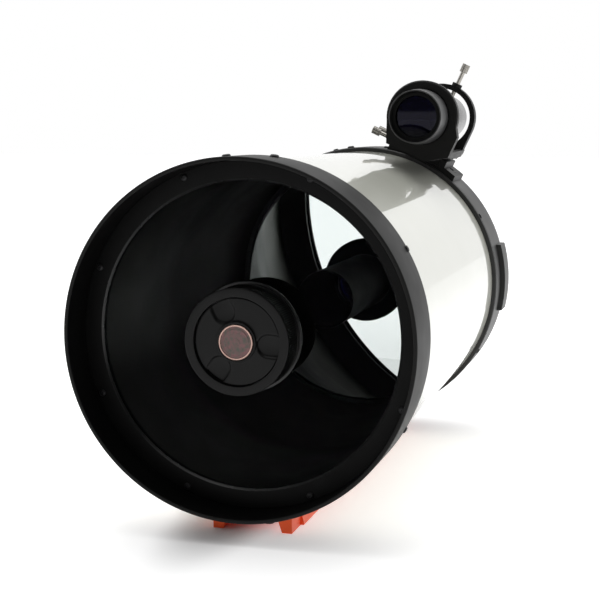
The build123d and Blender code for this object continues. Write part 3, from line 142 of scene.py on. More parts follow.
# Flat optical black, brushed on thick: takes the light and gives nearly none back.
OPTICAL_BLACK = finish("flat_optical_black", ("030303", "050504"), (0.85, 0.95), patch=25, grain=2.0,
                       depth=0.03, Specular_IOR_Level=0.05)
# Black anodised aluminium, turned: a deep black that catches the light on its tool rings and edges.
ANODISED = finish("black_anodised_aluminium", ("090909", "0D0D0E"), (0.24, 0.32), patch=20, grain=1.2,
                  depth=0.003, turned=1.2, Specular_IOR_Level=0.45)
# The baffle's thinner black, smoother than the flat black and painted a lighter grey-black: painted light for
# the lit band down its side.
BAFFLE_BLACK_PAINTED_LIGHT = finish("satin_black_painted_light", ("121212", "181817"), (0.48, 0.60), patch=25, grain=1.4,
                      depth=0.008, Specular_IOR_Level=0.45)
# The retaining ring's dull anodising: matt black that hides stray light.
MATT_ANODISED = finish("matt_black_anodised", ("050505", "070707"), (0.45, 0.55), patch=30, grain=1.6,
                       depth=0.004, Specular_IOR_Level=0.12)
# The thin coat inside the front casting and the tube: black from the front, an olive sheen at a slant
# from behind, which the primary shows beside its bright crescent.
THIN_BLACK = finish("thin_olive_black", ("060605", "080807"), (0.42, 0.52), patch=40, grain=2.0, depth=0.006,
                    Specular_Tint=(1.0, 1.0, 0.78, 1.0))
# Its sheen dies away down the tube, where the coat was sprayed thicker. Both places in metres.
SHEEN_FULL, SHEEN_GONE = -0.17, -0.03
SHEEN_FRONT, SHEEN_REAR = 0.55, 0.03
coat = THIN_BLACK.node_tree
inside = add(coat, "ShaderNodeTexCoord").outputs["Object"]
along = add(coat, "ShaderNodeSeparateXYZ", {0: inside}).outputs["Y"]
sheen = add(coat, "ShaderNodeMapRange", {"Value": along, "From Min": SHEEN_FULL, "From Max": SHEEN_GONE,
                                         "To Min": SHEEN_FRONT, "To Max": SHEEN_REAR},
            interpolation_type="SMOOTHSTEP")
coated = next(node for node in coat.nodes if node.type == "BSDF_PRINCIPLED")
coat.links.new(sheen.outputs[0], coated.inputs["Specular IOR Level"])
# The finder's cell: grey-black anodising, its grey a painted highlight for the light it mirrors at a slant.
ANODISED_PAINTED_HIGHLIGHT = finish("grey_anodised_painted_highlight", ("303031", "262627"), (0.34, 0.42), patch=12, grain=1.0,
                       depth=0.003, turned=1.0, Specular_IOR_Level=0.5)
# The finder's tube: black enamel with a hard gloss, white only where it mirrors the room at a slant.
GLOSS_BLACK = finish("gloss_black_enamel", ("080808", "0B0B0C"), (0.16, 0.22), patch=40, grain=1.8,
                     depth=0.001, Specular_IOR_Level=0.22)
# The secondary's mouldings: fine-grained black nylon, a dull face with glints on its rounded edges.
MOULDED = finish("grained_black_nylon", ("0A0A0A", "0E0E0E"), (0.30, 0.38), patch=14, grain=0.9, depth=0.005,
                 Specular_IOR_Level=0.16)
# Orange anodised aluminium, extruded and bead-blasted: coloured metal with die lines along the bar.
ORANGE = finish("orange_anodised_aluminium", ("F4602C", "EA5322"), (0.34, 0.42), patch=18, grain=1.6,
                depth=0.006, stretch=(1, 0.06, 1), Metallic=0.45)
# Turned aluminium, bare: pale metal with tool rings.
BARE = finish("turned_aluminium", ("A6A7A9", "9A9B9E"), (0.34, 0.44), patch=15, grain=1.0, depth=0.003,
              turned=1.0, Metallic=1.0)
# Nickel plate over knurled brass: grey metal, its knurls dulled by handling.
NICKEL = finish("nickel_plate", ("A9A6A0", "97948E"), (0.20, 0.32), patch=5, grain=0.8, depth=0.003,
                Metallic=1.0)
# Black oxide on steel screws: dark metal with an oily sheen.
OXIDE = finish("black_oxide_steel", ("161617", "1E1E1F"), (0.32, 0.42), patch=6, grain=0.8, depth=0.003,
               Metallic=0.6)
# Plain turned steel, oiled: mid-grey metal with tool rings, seen on the focus rods inside.
STEEL = finish("turned_steel", ("A7A8AA", "9A9B9E"), (0.28, 0.36), patch=8, grain=0.8, depth=0.003,
               turned=0.8, Metallic=1.0)
# Turned brass, greased: yellow metal on the focus nut.
BRASS = finish("turned_brass", ("C9A25A", "BC9450"), (0.26, 0.36), patch=8, grain=0.8, depth=0.003,
               turned=0.8, Metallic=1.0)
# Nitrile rubber, moulded: deep matt black that shows dust in its grain.
RUBBER = finish("moulded_rubber", ("0C0C0C", "131313"), (0.62, 0.74), patch=12, grain=1.0, depth=0.02,
                Specular_IOR_Level=0.35)
# Glass-filled nylon, moulded with a spark-eroded texture: black with a soft even sheen.
PLASTIC = finish("moulded_black_plastic", ("0C0C0D", "101011"), (0.40, 0.50), patch=25, grain=1.4,
                 depth=0.012, Specular_IOR_Level=0.4)
# First-surface aluminium on polished glass: a clean mirror, a trace cooler in patches.
MIRROR = finish("aluminised_mirror", ("DCDDDE", "D9DBDC"), (0.0, 0.01), patch=200, grain=400, depth=0.0,
                Metallic=1.0)
# The badge's disc: rainbow foil dulled to pink, green and grey patches. Its rim is pale rose metal.
BADGE = finish("patterned_foil", ("7E4C54", "34564A"), (0.30, 0.44), patch=3, grain=1.2, depth=0.004,
               Metallic=0.8)
BADGE_RIM = finish("rose_plated_rim", ("B89A90", "A98A80"), (0.22, 0.30), patch=6, grain=0.8, depth=0.002,
                   Metallic=0.9)
# Float glass, coated against glare: all but invisible, with the faintest cool cast.
CORRECTOR = clear_glass("coated_float_glass", "FBFDFC", "F8FCFA", reflect=0.008)
# Lens glass under a violet coating: deep and dark, with violet reflections.
LENS = clear_glass("coated_lens_glass", "5A5490", "443F80", reflect=0.30)

FINISH_OF = {
    "white_paint": PEARL, "black_paint": POWDER, "flat_black": OPTICAL_BLACK, "orange_anodised": ORANGE,
    "black_anodised": ANODISED, "bare_aluminium": BARE, "nickel": NICKEL, "black_steel": OXIDE,
    "steel": STEEL, "brass": BRASS, "corrector_glass": CORRECTOR, "lens_glass": LENS, "mirror": MIRROR,
    "rubber": RUBBER, "black_plastic": PLASTIC, "medallion": BADGE,
}
# The rear casting takes the lighter copy of the coat, which is painted light.
FINISH_OF_NODE = {"rear_cell": POWDER_PAINTED_LIGHT}

SLOT_OF = {entry["node"]: entry["material_slot"] for entry in frame["record"]["subparts"]}
for name, cad in frame["nodes"].items():
    cad.data.materials.clear()
    cad.data.materials.append(FINISH_OF_NODE.get(name) or FINISH_OF[SLOT_OF[name]])


# ---------------------------------------------------------------- making shapes

def keep(name, mesh, body, finishes, replaced=(), smooth=35):
    """A finished piece: its mesh gets its finishes and rides on a body in place of the CAD nodes named."""
    made = bpy.data.objects.new(name, mesh)
    bpy.context.scene.collection.objects.link(made)
    for one in finishes[len(mesh.materials):]:
        mesh.materials.append(one)
    mesh.shade_smooth()
    mesh.set_sharp_from_angle(angle=radians(smooth))
    if replaced:
        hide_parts(*replaced)
    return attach(made, body)


def rounded(outline, radii, steps=5):
    """A closed outline in mm whose corner k is rounded off by radii.get(k)."""
    made = []
    for k, corner in enumerate(outline):
        here = Vector(corner)
        before = Vector(outline[k - 1]) - here
        after = Vector(outline[(k + 1) % len(outline)]) - here
        radius = radii.get(k, 0)
        if not radius:
            made.append(here)
            continue
        reach = radius / tan(before.angle(after) / 2)
        start, end = here + before.normalized() * reach, here + after.normalized() * reach
        for step in range(steps + 1):
            share = step / steps
            made.append(start * (1 - share) ** 2 + here * 2 * share * (1 - share) + end * share ** 2)
    return made


def mesh_of(form, name):
    """The plain mesh of a bmesh, welded and with its faces pointing outwards."""
    bmesh.ops.remove_doubles(form, verts=form.verts, dist=1e-6)
    bmesh.ops.dissolve_degenerate(form, edges=form.edges, dist=1e-7)
    bmesh.ops.recalc_face_normals(form, faces=form.faces)
    mesh = bpy.data.meshes.new(name)
    form.to_mesh(mesh)
    form.free()
    return mesh


def lathe(outline, around=160, axis=None, second=None):
    """A solid turned from a closed outline of (t, radius) in mm, t behind the front rim. Faces whose
    middle meets second(t, radius) get the second finish, or the third where it gives 2."""
    axis = axis or (0.0, AXIS_HEIGHT)
    form = bmesh.new()
    loops = []
    for k in range(around):
        turn = 2 * pi * k / around
        loops.append([form.verts.new(at(t, axis[0] + r * sin(turn), axis[1] + r * cos(turn)))
                      for t, r in outline])
    for k in range(around):
        here, there = loops[k], loops[(k + 1) % around]
        for j in range(len(outline)):
            ahead = (j + 1) % len(outline)
            face = form.faces.new((here[j], here[ahead], there[ahead], there[j]))
            middle = (Vector(outline[j]) + Vector(outline[ahead])) / 2
            face.material_index = int(second(*middle)) if second else 0
    return mesh_of(form, "turned")


def at(t, x, z):
    """A point t behind the front rim, in mm, as metres in the part's frame."""
    return Vector((x, RIM + t, z)) * MM


def outward(clock):
    """The direction away from the optical axis at a clock angle, 0 up and 90 to the right."""
    return Vector((sin(radians(clock)), 0, cos(radians(clock))))


def setting_out():
    """The tree that puts one part at every point, its Z along the point's facing and its Y along."""
    tree = bpy.data.node_groups.new("set_out_parts", "GeometryNodeTree")
    ports = {}
    for name, kind in (("Places", "Geometry"), ("Part", "Object"), ("Finish", "Material")):
        ports[name] = tree.interface.new_socket(name, in_out="INPUT", socket_type="NodeSocket" + kind)
    tree.interface.new_socket("Parts", in_out="OUTPUT", socket_type="NodeSocketGeometry")
    given = add(tree, "NodeGroupInput").outputs
    part = add(tree, "GeometryNodeObjectInfo", {"Object": given["Part"]}).outputs["Geometry"]
    turn = None
    for name, axis, pivot in (("facing", "Z", "AUTO"), ("along", "Y", "Z")):
        way = add(tree, "GeometryNodeInputNamedAttribute", {"Name": name},
                  data_type="FLOAT_VECTOR").outputs["Attribute"]
        turn = add(tree, "FunctionNodeAlignRotationToVector",
                   {"Vector": way, **({"Rotation": turn} if turn else {})},
                   axis=axis, pivot_axis=pivot).outputs["Rotation"]
    placed = add(tree, "GeometryNodeInstanceOnPoints",
                 {"Points": given["Places"], "Instance": part, "Rotation": turn})
    solid = add(tree, "GeometryNodeRealizeInstances", {"Geometry": placed.outputs[0]}).outputs[0]
    dressed = add(tree, "GeometryNodeSetMaterial", {"Geometry": solid, "Material": given["Finish"]})
    add(tree, "NodeGroupOutput", {"Parts": dressed.outputs[0]})
    return tree, {name: port.identifier for name, port in ports.items()}


SETTING_OUT, PORTS = setting_out()


def set_out(name, part, places, dressing):
    """A plain mesh of the part repeated at places, each (point in metres, facing, along)."""
    points = bpy.data.meshes.new(name + "_places")
    points.from_pydata([p for p, _, _ in places], [], [])
    for k, attribute in ((1, "facing"), (2, "along")):
        values = points.attributes.new(attribute, "FLOAT_VECTOR", "POINT")
        values.data.foreach_set("vector", [c for place in places for c in place[k]])
    pattern = bpy.data.objects.new(name + "_pattern", part)
    holder = bpy.data.objects.new(name + "_holder", points)
    bpy.context.scene.collection.objects.link(holder)
    bpy.context.scene.collection.objects.link(pattern)
    modifier = holder.modifiers.new("set_out", "NODES")
    modifier.node_group = SETTING_OUT
    modifier[PORTS["Part"]] = pattern
    modifier[PORTS["Finish"]] = dressing
    bpy.context.view_layer.update()
    graph = bpy.context.evaluated_depsgraph_get()
    mesh = bpy.data.meshes.new_from_object(holder.evaluated_get(graph))
    for spent in (holder, pattern):
        bpy.data.objects.remove(spent)
    mesh.name = name
    return mesh


def joined(*meshes):
    """One mesh of several that share a finish."""
    form = bmesh.new()
    for mesh in meshes:
        form.from_mesh(mesh)
    made = bpy.data.meshes.new("joined")
    form.to_mesh(made)
    form.free()
    return made


def stacked_rings(rings, around=36):
    """A closed solid from rings of (height, radius) in mm, up Z. A radius may be a function of the angle."""
    form = bmesh.new()
    loops = []
    for height, radius in rings:
        loop = []
        for k in range(around):
            turn = 2 * pi * k / around
            reach = radius(turn) if callable(radius) else radius
            loop.append(form.verts.new(Vector((reach * cos(turn), reach * sin(turn), height)) * MM))
        loops.append(loop)
    for low, high in zip(loops, loops[1:]):
        for k in range(around):
            form.faces.new((low[k], low[(k + 1) % around], high[(k + 1) % around], high[k]))
    form.faces.new(loops[0])
    form.faces.new(loops[-1])
    return mesh_of(form, "stacked")


def hexagon(flats):
    """Radius of a hexagonal socket of that width across flats, by angle."""
    return lambda turn: flats / 2 / cos((turn + pi / 6) % (pi / 3) - pi / 6)


def button_head(radius, height, flats):
    """A domed screw head with a hexagonal socket."""
    return stacked_rings([(-0.3, radius * 0.98), (height * 0.3, radius), (height * 0.62, radius * 0.93),
                          (height * 0.88, radius * 0.78), (height, radius * 0.58),
                          (height, hexagon(flats * 1.06)),
                          (height * 0.86, hexagon(flats)), (height * 0.3, hexagon(flats))])


def rib(width, height, length):
    """One rounded rib: it stands up along Z and runs along Y."""
    form = bmesh.new()
    section = [(-width / 2, -0.15), (-width * 0.32, height * 0.7), (0, height), (width * 0.32, height * 0.7),
               (width / 2, -0.15)]
    ends = [[form.verts.new(Vector((x, end * (length / 2 - (0.3 if z > 0 else 0)), z)) * MM)
             for x, z in section] for end in (-1, 1)]
    for k in range(len(section)):
        ahead = (k + 1) % len(section)
        form.faces.new((ends[0][k], ends[0][ahead], ends[1][ahead], ends[1][k]))
    form.faces.new(ends[0])
    form.faces.new(ends[1])
    return mesh_of(form, "rib")


def ribs_round(t, radius, count, axis=None):
    """Places for ribs round a body that lies along Y."""
    axis = axis or (0.0, AXIS_HEIGHT)
    made = []
    for k in range(count):
        way = outward(360 * k / count)
        made.append((at(t, axis[0], axis[1]) + way * radius * MM, way, Vector((0, 1, 0))))
    return made


# ---------------------------------------------------------------- optical tube

TUBE_RADIUS, TUBE_WALL, TUBE_FRONT, TUBE_REAR = 157.0, 2.0, 50.0, 504.0
CELL_RADIUS, CELL_WALL, FRONT_LENGTH = 162.0, 3.7, 63.0
RING_FACE, SEAT_FACE, CLEAR_RADIUS = 38.0, 41.0, 139.9
CORRECTOR_REAR, CORRECTOR_SEAT = 46.6, 146.3
FIT = 0.05                      # clearance of seated round fits
LARGE_TURN, MIDDLE_TURN = 256, 160   # facets round the large and the middle turned pieces
RING_CHAMFER = 1.7

shell = [(TUBE_FRONT, TUBE_RADIUS), (TUBE_REAR, TUBE_RADIUS),
         (TUBE_REAR, TUBE_RADIUS - TUBE_WALL), (TUBE_FRONT, TUBE_RADIUS - TUBE_WALL)]
keep("tube_shell", lathe(shell, LARGE_TURN, second=lambda t, r: r < TUBE_RADIUS - 0.1), "optical_tube",
     [PEARL, THIN_BLACK], ["main_tube"])

casting = [(0, CELL_RADIUS), (FRONT_LENGTH, CELL_RADIUS), (FRONT_LENGTH, TUBE_RADIUS + FIT),
           (TUBE_FRONT, TUBE_RADIUS + FIT), (TUBE_FRONT, CLEAR_RADIUS + 1),
           (CORRECTOR_REAR, CLEAR_RADIUS + 1), (CORRECTOR_REAR, CORRECTOR_SEAT),
           (SEAT_FACE, CORRECTOR_SEAT), (SEAT_FACE, CELL_RADIUS - CELL_WALL), (0, CELL_RADIUS - CELL_WALL)]
casting = rounded(casting, {0: 1.7, 1: 1.2, 9: 1.2})


def casting_finish(t, r):
    """Powder coat outside, matt black at the ring's seat, the thin coat on the face behind the corrector."""
    if r > CELL_RADIUS - CELL_WALL + 0.2 or t < 1.5:
        return 0
    return 2 if t > TUBE_FRONT - 0.1 else 1


keep("front_cell_casting", lathe(casting, LARGE_TURN, second=casting_finish), "optical_tube",
     [POWDER, MATT_ANODISED, THIN_BLACK], ["front_cell"])

ring = [(RING_FACE, CLEAR_RADIUS + RING_CHAMFER), (RING_FACE, CELL_RADIUS - CELL_WALL - FIT),
        (SEAT_FACE, CELL_RADIUS - CELL_WALL - FIT), (SEAT_FACE, CLEAR_RADIUS),
        (RING_FACE + RING_CHAMFER, CLEAR_RADIUS)]
ring = rounded(ring, {1: 0.4})
ring_mesh = lathe(ring, LARGE_TURN, second=lambda t, r: r < CLEAR_RADIUS + RING_CHAMFER + 0.1)
keep("retaining_ring_turned", ring_mesh, "optical_tube", [MATT_ANODISED, ANODISED], ["retaining_ring"])

# Screws: eight in the retaining ring, and domed heads round both cells.
RING_SCREW_CIRCLE = 153.5
RING_CLOCKS = [22.5 + 45 * k for k in range(8)]
RING_HEAD, SIDE_HEAD, PLUG_HEAD = (3.2, 1.6, 2.0), (3.2, 1.5, 2.0), (4.2, 2.2, 2.6)   # radius, height, socket
SIDE_SCREWS = {58.8: (-60, 60, -120, 120), 499.0: (-13, -60, 60, -120, 120)}   # clocks by place along
PLUGS = {49.0: (-8, 8), 519.0: (-8, 8)}


def round_cells(clocks_at):
    """Places on the outside of the cells, from clocks by place along the tube."""
    return [(at(t, 0, AXIS_HEIGHT) + outward(c) * CELL_RADIUS * MM, outward(c), Vector((0, 1, 0)))
            for t, clocks in clocks_at.items() for c in clocks]


ring_places = [(at(RING_FACE, 0, AXIS_HEIGHT) + outward(c) * RING_SCREW_CIRCLE * MM, Vector((0, -1, 0)),
                outward(c)) for c in RING_CLOCKS]
keep("retaining_ring_heads", set_out("ring_heads", button_head(*RING_HEAD), ring_places, OXIDE),
     "optical_tube", [OXIDE], ["retaining_ring_screws"])
keep("cell_screw_heads", set_out("cell_heads", button_head(*SIDE_HEAD), round_cells(SIDE_SCREWS), OXIDE),
     "optical_tube", [OXIDE], ["cell_screws"])
keep("plug_heads", set_out("plugs", button_head(*PLUG_HEAD), round_cells(PLUGS), PLASTIC),
     "optical_tube", [PLASTIC], ["accessory_plugs"])

# The primary: a dish of glass. Its front is a true smooth sphere, so that it mirrors the room as it should.
MIRROR_CURVE, MIRROR_HOLE, MIRROR_EDGE_THICK, MIRROR_BACK_RADIUS = 1120.0, 38.0, 18.0, 62.0
mirror_low, mirror_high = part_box("primary_mirror")
mirror_radius = (mirror_high.x - mirror_low.x) / 2 / MM
mirror_front, mirror_back = mirror_low.y / MM - RIM, mirror_high.y / MM - RIM


def dish(radius):
    """How far the mirror's face lies behind its edge, at a radius."""
    return (mirror_radius ** 2 - radius ** 2) / (2 * MIRROR_CURVE)


face = [(mirror_front + dish(r), r)
        for r in [MIRROR_HOLE + (mirror_radius - MIRROR_HOLE) * k / 48 for k in range(49)]]
blank = face + [(mirror_front + MIRROR_EDGE_THICK, mirror_radius), (mirror_back, MIRROR_BACK_RADIUS),
                (mirror_back, MIRROR_HOLE)]
keep("primary_mirror_glass", lathe(blank, 288), "mirror_carriage", [MIRROR], ["primary_mirror"], smooth=30)


# ---------------------------------------------------------------- secondary unit

SECONDARY_RING_RADIUS, SECONDARY_RING_FRONT, SECONDARY_RING_REAR = 48.0, 6.0, 38.4
SECONDARY_OPENING, LIP = 39.7, 3.0
HOUSING_RADIUS, HOUSING_WALL, HOUSING_FRONT, HOUSING_REAR = 45.55, 2.0, 12.0, 52.0
FLANGE_RADIUS, FLANGE_REAR = 50.3, 41.8
MEDALLION_RADIUS, BOSS_RADIUS, BOSS_FRONT = 15.7, 18.0, 5.4
COVER_FACE, COVER_REAR, COVER_RADIUS = 8.6, 11.6, 39.2
KNURL_DEPTH, KNURL_RIBS, RIB_WIDTH, RIB_HEIGHT = 0.7, 150, 0.9, 0.55

knurl_front, knurl_rear = SECONDARY_RING_FRONT + 4.5, SECONDARY_RING_REAR - 4.0
ring = [(SECONDARY_RING_FRONT, SECONDARY_OPENING), (SECONDARY_RING_FRONT, SECONDARY_RING_RADIUS),
        (knurl_front - 1.2, SECONDARY_RING_RADIUS), (knurl_front - 0.6, SECONDARY_RING_RADIUS - KNURL_DEPTH),
        (knurl_rear + 0.6, SECONDARY_RING_RADIUS - KNURL_DEPTH), (knurl_rear + 1.2, SECONDARY_RING_RADIUS),
        (SECONDARY_RING_REAR, SECONDARY_RING_RADIUS), (SECONDARY_RING_REAR, HOUSING_RADIUS),
        (SECONDARY_RING_FRONT + LIP, HOUSING_RADIUS), (SECONDARY_RING_FRONT + LIP, SECONDARY_OPENING)]
ring = rounded(ring, {0: 0.5, 1: 1.2, 6: 0.6})
ribs = set_out("secondary_ribs", rib(RIB_WIDTH, RIB_HEIGHT, knurl_rear - knurl_front + 1.0),
               ribs_round((knurl_front + knurl_rear) / 2, SECONDARY_RING_RADIUS - KNURL_DEPTH - 0.05,
                          KNURL_RIBS), MOULDED)
keep("secondary_ring_ribbed", joined(lathe(ring, 180), ribs), "secondary_clamp", [MOULDED],
     ["secondary_ring"])


def dished_disc(front, rear, radius, hollow, rings=56, around=240):
    """A disc whose front stands at front(x, z) mm; hollow is a list of radii where rings must fall."""
    reaches = sorted(set([radius * k / rings for k in range(1, rings + 1)] + hollow))
    form = bmesh.new()
    middle = form.verts.new(at(front(0, 0), 0, AXIS_HEIGHT))
    before = None
    for r in reaches:
        loop = []
        for k in range(around):
            turn = 2 * pi * k / around
            x, z = r * sin(turn), r * cos(turn)
            loop.append(form.verts.new(at(front(x, z), x, AXIS_HEIGHT + z)))
        for k in range(around):
            ahead = (k + 1) % around
            form.faces.new((before[k], before[ahead], loop[ahead], loop[k]) if before
                           else (middle, loop[ahead], loop[k]))
        before = loop
    back = [form.verts.new(Vector((v.co.x, (RIM + rear) * MM, v.co.z))) for v in before]
    for k in range(around):
        ahead = (k + 1) % around
        form.faces.new((before[k], before[ahead], back[ahead], back[k]))
    form.faces.new(back)
    return mesh_of(form, "dished")


SCOOP_CLOCKS, SCOOP_CIRCLE, SCOOP_REACH = (95, 215, 335), 28.5, 34.0
SCOOP_RADIUS, SCOOP_DEPTH, SCOOP_WALL = 10.8, 2.75, 1.8


def cover_front(x, z):
    """Where the cover's front stands: a raised middle, and three finger scoops with steep walls."""
    r = sqrt(x * x + z * z)
    if r < MEDALLION_RADIUS + 0.3:
        return BOSS_FRONT + 1.25
    if r < BOSS_RADIUS - 0.3:
        return BOSS_FRONT + (0.25 if r < MEDALLION_RADIUS + 0.7 else 0)
    face = COVER_FACE - 0.35 * max(0.0, 1 - (r - BOSS_RADIUS) / 1.6) ** 2
    if r < BOSS_RADIUS + 0.2:
        return BOSS_FRONT + 0.5
    deepest = 0.0
    for clock in SCOOP_CLOCKS:
        way = outward(clock)
        along = min(max(x * way.x + z * way.z, SCOOP_CIRCLE), SCOOP_REACH)
        apart = sqrt((x - along * way.x) ** 2 + (z - along * way.z) ** 2)
        share = min(max((SCOOP_RADIUS - apart) / SCOOP_WALL, 0.0), 1.0)
        bowl = 1 - 0.25 * (apart / SCOOP_RADIUS) ** 2
        deepest = max(deepest, SCOOP_DEPTH * share * share * (3 - 2 * share) * bowl)
    edge = max(0.0, r - COVER_RADIUS + 0.8)
    return face + deepest + edge * 0.7


steps_at = [MEDALLION_RADIUS + 0.25, MEDALLION_RADIUS + 0.35, MEDALLION_RADIUS + 0.75, BOSS_RADIUS - 0.35,
            BOSS_RADIUS + 0.1, BOSS_RADIUS + 0.25, COVER_RADIUS - 0.8]
keep("secondary_cover_moulded", dished_disc(cover_front, COVER_REAR, COVER_RADIUS, steps_at),
     "secondary_cap", [MOULDED], ["secondary_cover"], smooth=50)

# The badge on the cover is left plain: a bright rim round a disc turned with fine rings.
badge = [(BOSS_FRONT + 1.2, 0), (BOSS_FRONT - 0.35, 0), (BOSS_FRONT - 0.35, 3.1), (BOSS_FRONT - 0.2, 3.3),
         (BOSS_FRONT - 0.2, 8.6), (BOSS_FRONT - 0.35, 8.8), (BOSS_FRONT - 0.35, 11.8),
         (BOSS_FRONT - 0.1, 12.2), (BOSS_FRONT - 0.1, 14.0), (BOSS_FRONT - 0.9, 14.3),
         (BOSS_FRONT - 0.95, MEDALLION_RADIUS - 0.3), (BOSS_FRONT - 0.5, MEDALLION_RADIUS),
         (BOSS_FRONT + 1.2, MEDALLION_RADIUS)]
badge_mesh = lathe(badge, 120, second=lambda t, r: 14.05 < r and t < BOSS_FRONT + 0.5)
keep("cover_badge", badge_mesh, "secondary_cap", [BADGE, BADGE_RIM], ["cover_medallion"], smooth=25)

housing_out = HOUSING_RADIUS - FIT
housing_in = housing_out - HOUSING_WALL
flange_front = SECONDARY_RING_REAR + 0.4
housing = [(HOUSING_FRONT, housing_in), (HOUSING_FRONT, housing_out), (flange_front, housing_out),
           (flange_front, FLANGE_RADIUS), (FLANGE_REAR, FLANGE_RADIUS), (FLANGE_REAR, housing_out),
           (HOUSING_REAR, housing_out), (HOUSING_REAR, housing_in)]
keep("secondary_housing_turned", lathe(rounded(housing, {3: 0.9, 4: 0.3}), 180), "optical_tube", [ANODISED],
     ["secondary_housing"])

# ---------------------------------------------------------------- baffle and finder

baffle_low, baffle_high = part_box("baffle_tube")
BAFFLE_RADIUS, BAFFLE_WALL = 31.8, 2.0
baffle_front, baffle_rear = baffle_low.y / MM - RIM, baffle_high.y / MM - RIM
BAFFLE_FLANGE, BAFFLE_FLANGE_THICK, BACK_INSIDE = 44.0, 4.0, 568.0
bore = [(baffle_front, BAFFLE_RADIUS - BAFFLE_WALL), (baffle_front, BAFFLE_RADIUS),
        (BACK_INSIDE - BAFFLE_FLANGE_THICK, BAFFLE_RADIUS),
        (BACK_INSIDE - BAFFLE_FLANGE_THICK, BAFFLE_FLANGE),
        (BACK_INSIDE, BAFFLE_FLANGE), (BACK_INSIDE, BAFFLE_RADIUS), (baffle_rear, BAFFLE_RADIUS),
        (baffle_rear, BAFFLE_RADIUS - BAFFLE_WALL)]
baffle_mesh = lathe(rounded(bore, {0: 0.5, 1: 0.8}), MIDDLE_TURN,
                    second=lambda t, r: r < BAFFLE_RADIUS - 0.9)
# The baffle's outside wears the lighter black, which is painted light.
keep("baffle_turned", baffle_mesh, "optical_tube", [BAFFLE_BLACK_PAINTED_LIGHT, OPTICAL_BLACK], ["baffle_tube"])

# The clamp ring's inner lip hides the hub's bare face behind it.
clamp_low, clamp_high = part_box("mirror_clamp_ring")
clamp_front, clamp_rear = clamp_low.y / MM - RIM, clamp_high.y / MM - RIM
CLAMP_RADIUS = (clamp_high.x - clamp_low.x) / 2 / MM
CLAMP_PROUD = 0.6
clamp = [(clamp_front - CLAMP_PROUD, BAFFLE_RADIUS + 0.25), (clamp_front - CLAMP_PROUD, CLAMP_RADIUS - 1.2),
         (clamp_front + CLAMP_PROUD, CLAMP_RADIUS), (clamp_rear, CLAMP_RADIUS),
         (clamp_rear, MIRROR_HOLE + 0.5),
         (clamp_front - 0.1, MIRROR_HOLE + 0.5), (clamp_front - 0.1, BAFFLE_RADIUS + 0.25)]
keep("mirror_clamp_ring_turned", lathe(clamp, MIDDLE_TURN), "mirror_carriage", [OPTICAL_BLACK],
     ["mirror_clamp_ring"])

FINDER_CLOCK, FINDER_REACH = 24.9, 217.4
finder_axis = (FINDER_REACH * sin(radians(FINDER_CLOCK)),
               AXIS_HEIGHT + FINDER_REACH * cos(radians(FINDER_CLOCK)))
FINDER_RIM, CELL_OUT, OBJECTIVE_REAR, CELL_SHOULDER = 338.0, 30.0, 373.9, 357.0
LENS_SEAT, LENS_BORE, LENS_LEDGE = 348.0, 25.5, 24.0
FINDER_TUBE, FINDER_BORE, FINDER_REAR = 26.5, 25.0, 560.0
DRAW_RADIUS, DRAW_BORE = 18.0, 13.5   # the narrow rear of the finder's tube, where the eyepiece goes
RIM_OUT, BEZEL = 28.6, 22.4     # the cell narrows to its rim; a bezel holds the lens
cell = [(FINDER_RIM, RIM_OUT - 1.2), (FINDER_RIM, RIM_OUT), (OBJECTIVE_REAR - 14, CELL_OUT),
        (OBJECTIVE_REAR, CELL_OUT), (OBJECTIVE_REAR, FINDER_TUBE + FIT), (CELL_SHOULDER, FINDER_TUBE + FIT),
        (CELL_SHOULDER, LENS_LEDGE), (LENS_SEAT + 7.0, LENS_LEDGE), (LENS_SEAT + 7.0, LENS_BORE + FIT),
        (LENS_SEAT - 1.5, LENS_BORE + FIT), (LENS_SEAT - 1.5, BEZEL), (LENS_SEAT - 3.4, BEZEL),
        (LENS_SEAT - 3.4, 25.4), (FINDER_RIM + 3.0, 26.4), (FINDER_RIM + 2.4, RIM_OUT - 1.5)]
cell = rounded(cell, {0: 0.3, 1: 0.4, 3: 0.5, 10: 0.3, 11: 0.5})
# The cell's grey outside is a painted highlight.
cell_mesh = lathe(cell, MIDDLE_TURN, finder_axis,
                  second=lambda t, r: r < RIM_OUT - 1.3 and t > FINDER_RIM + 0.4)
keep("finder_cell_turned", cell_mesh, "finder_objective", [ANODISED_PAINTED_HIGHLIGHT, MATT_ANODISED],
     ["finder_objective_cell"])

barrel = [(FINDER_RIM + 20, FINDER_BORE), (FINDER_RIM + 20, FINDER_TUBE), (FINDER_REAR - 32, FINDER_TUBE),
          (FINDER_REAR - 22, DRAW_RADIUS), (FINDER_REAR, DRAW_RADIUS), (FINDER_REAR, DRAW_BORE),
          (FINDER_REAR - 20, DRAW_BORE), (FINDER_REAR - 32, FINDER_BORE)]


def inside_barrel(t, r):
    """Flat black in both bores of the finder's tube."""
    return r < DRAW_BORE + 0.1 or (r < FINDER_BORE + 0.1 and t < FINDER_REAR - 32)


barrel_mesh = lathe(rounded(barrel, {2: 2.0, 3: 2.0, 4: 0.5}), MIDDLE_TURN, finder_axis, second=inside_barrel)
keep("finder_tube_turned", barrel_mesh, "finder", [GLOSS_BLACK, OPTICAL_BLACK], ["finder_tube"])

LENS_CURVE = 210.0
lens_face = [(LENS_SEAT - (LENS_BORE ** 2 - r * r) / (2 * LENS_CURVE), r)
             for r in [LENS_BORE * k / 20 for k in range(21)]]
lens = lens_face + [(LENS_SEAT + 6.5, LENS_BORE), (LENS_SEAT + 6.5, 0)]
keep("finder_front_lens", lathe(lens, 120, finder_axis), "finder_objective", [LENS],
     ["finder_objective_lens"], smooth=30)


# ---------------------------------------------------------------- studio and camera

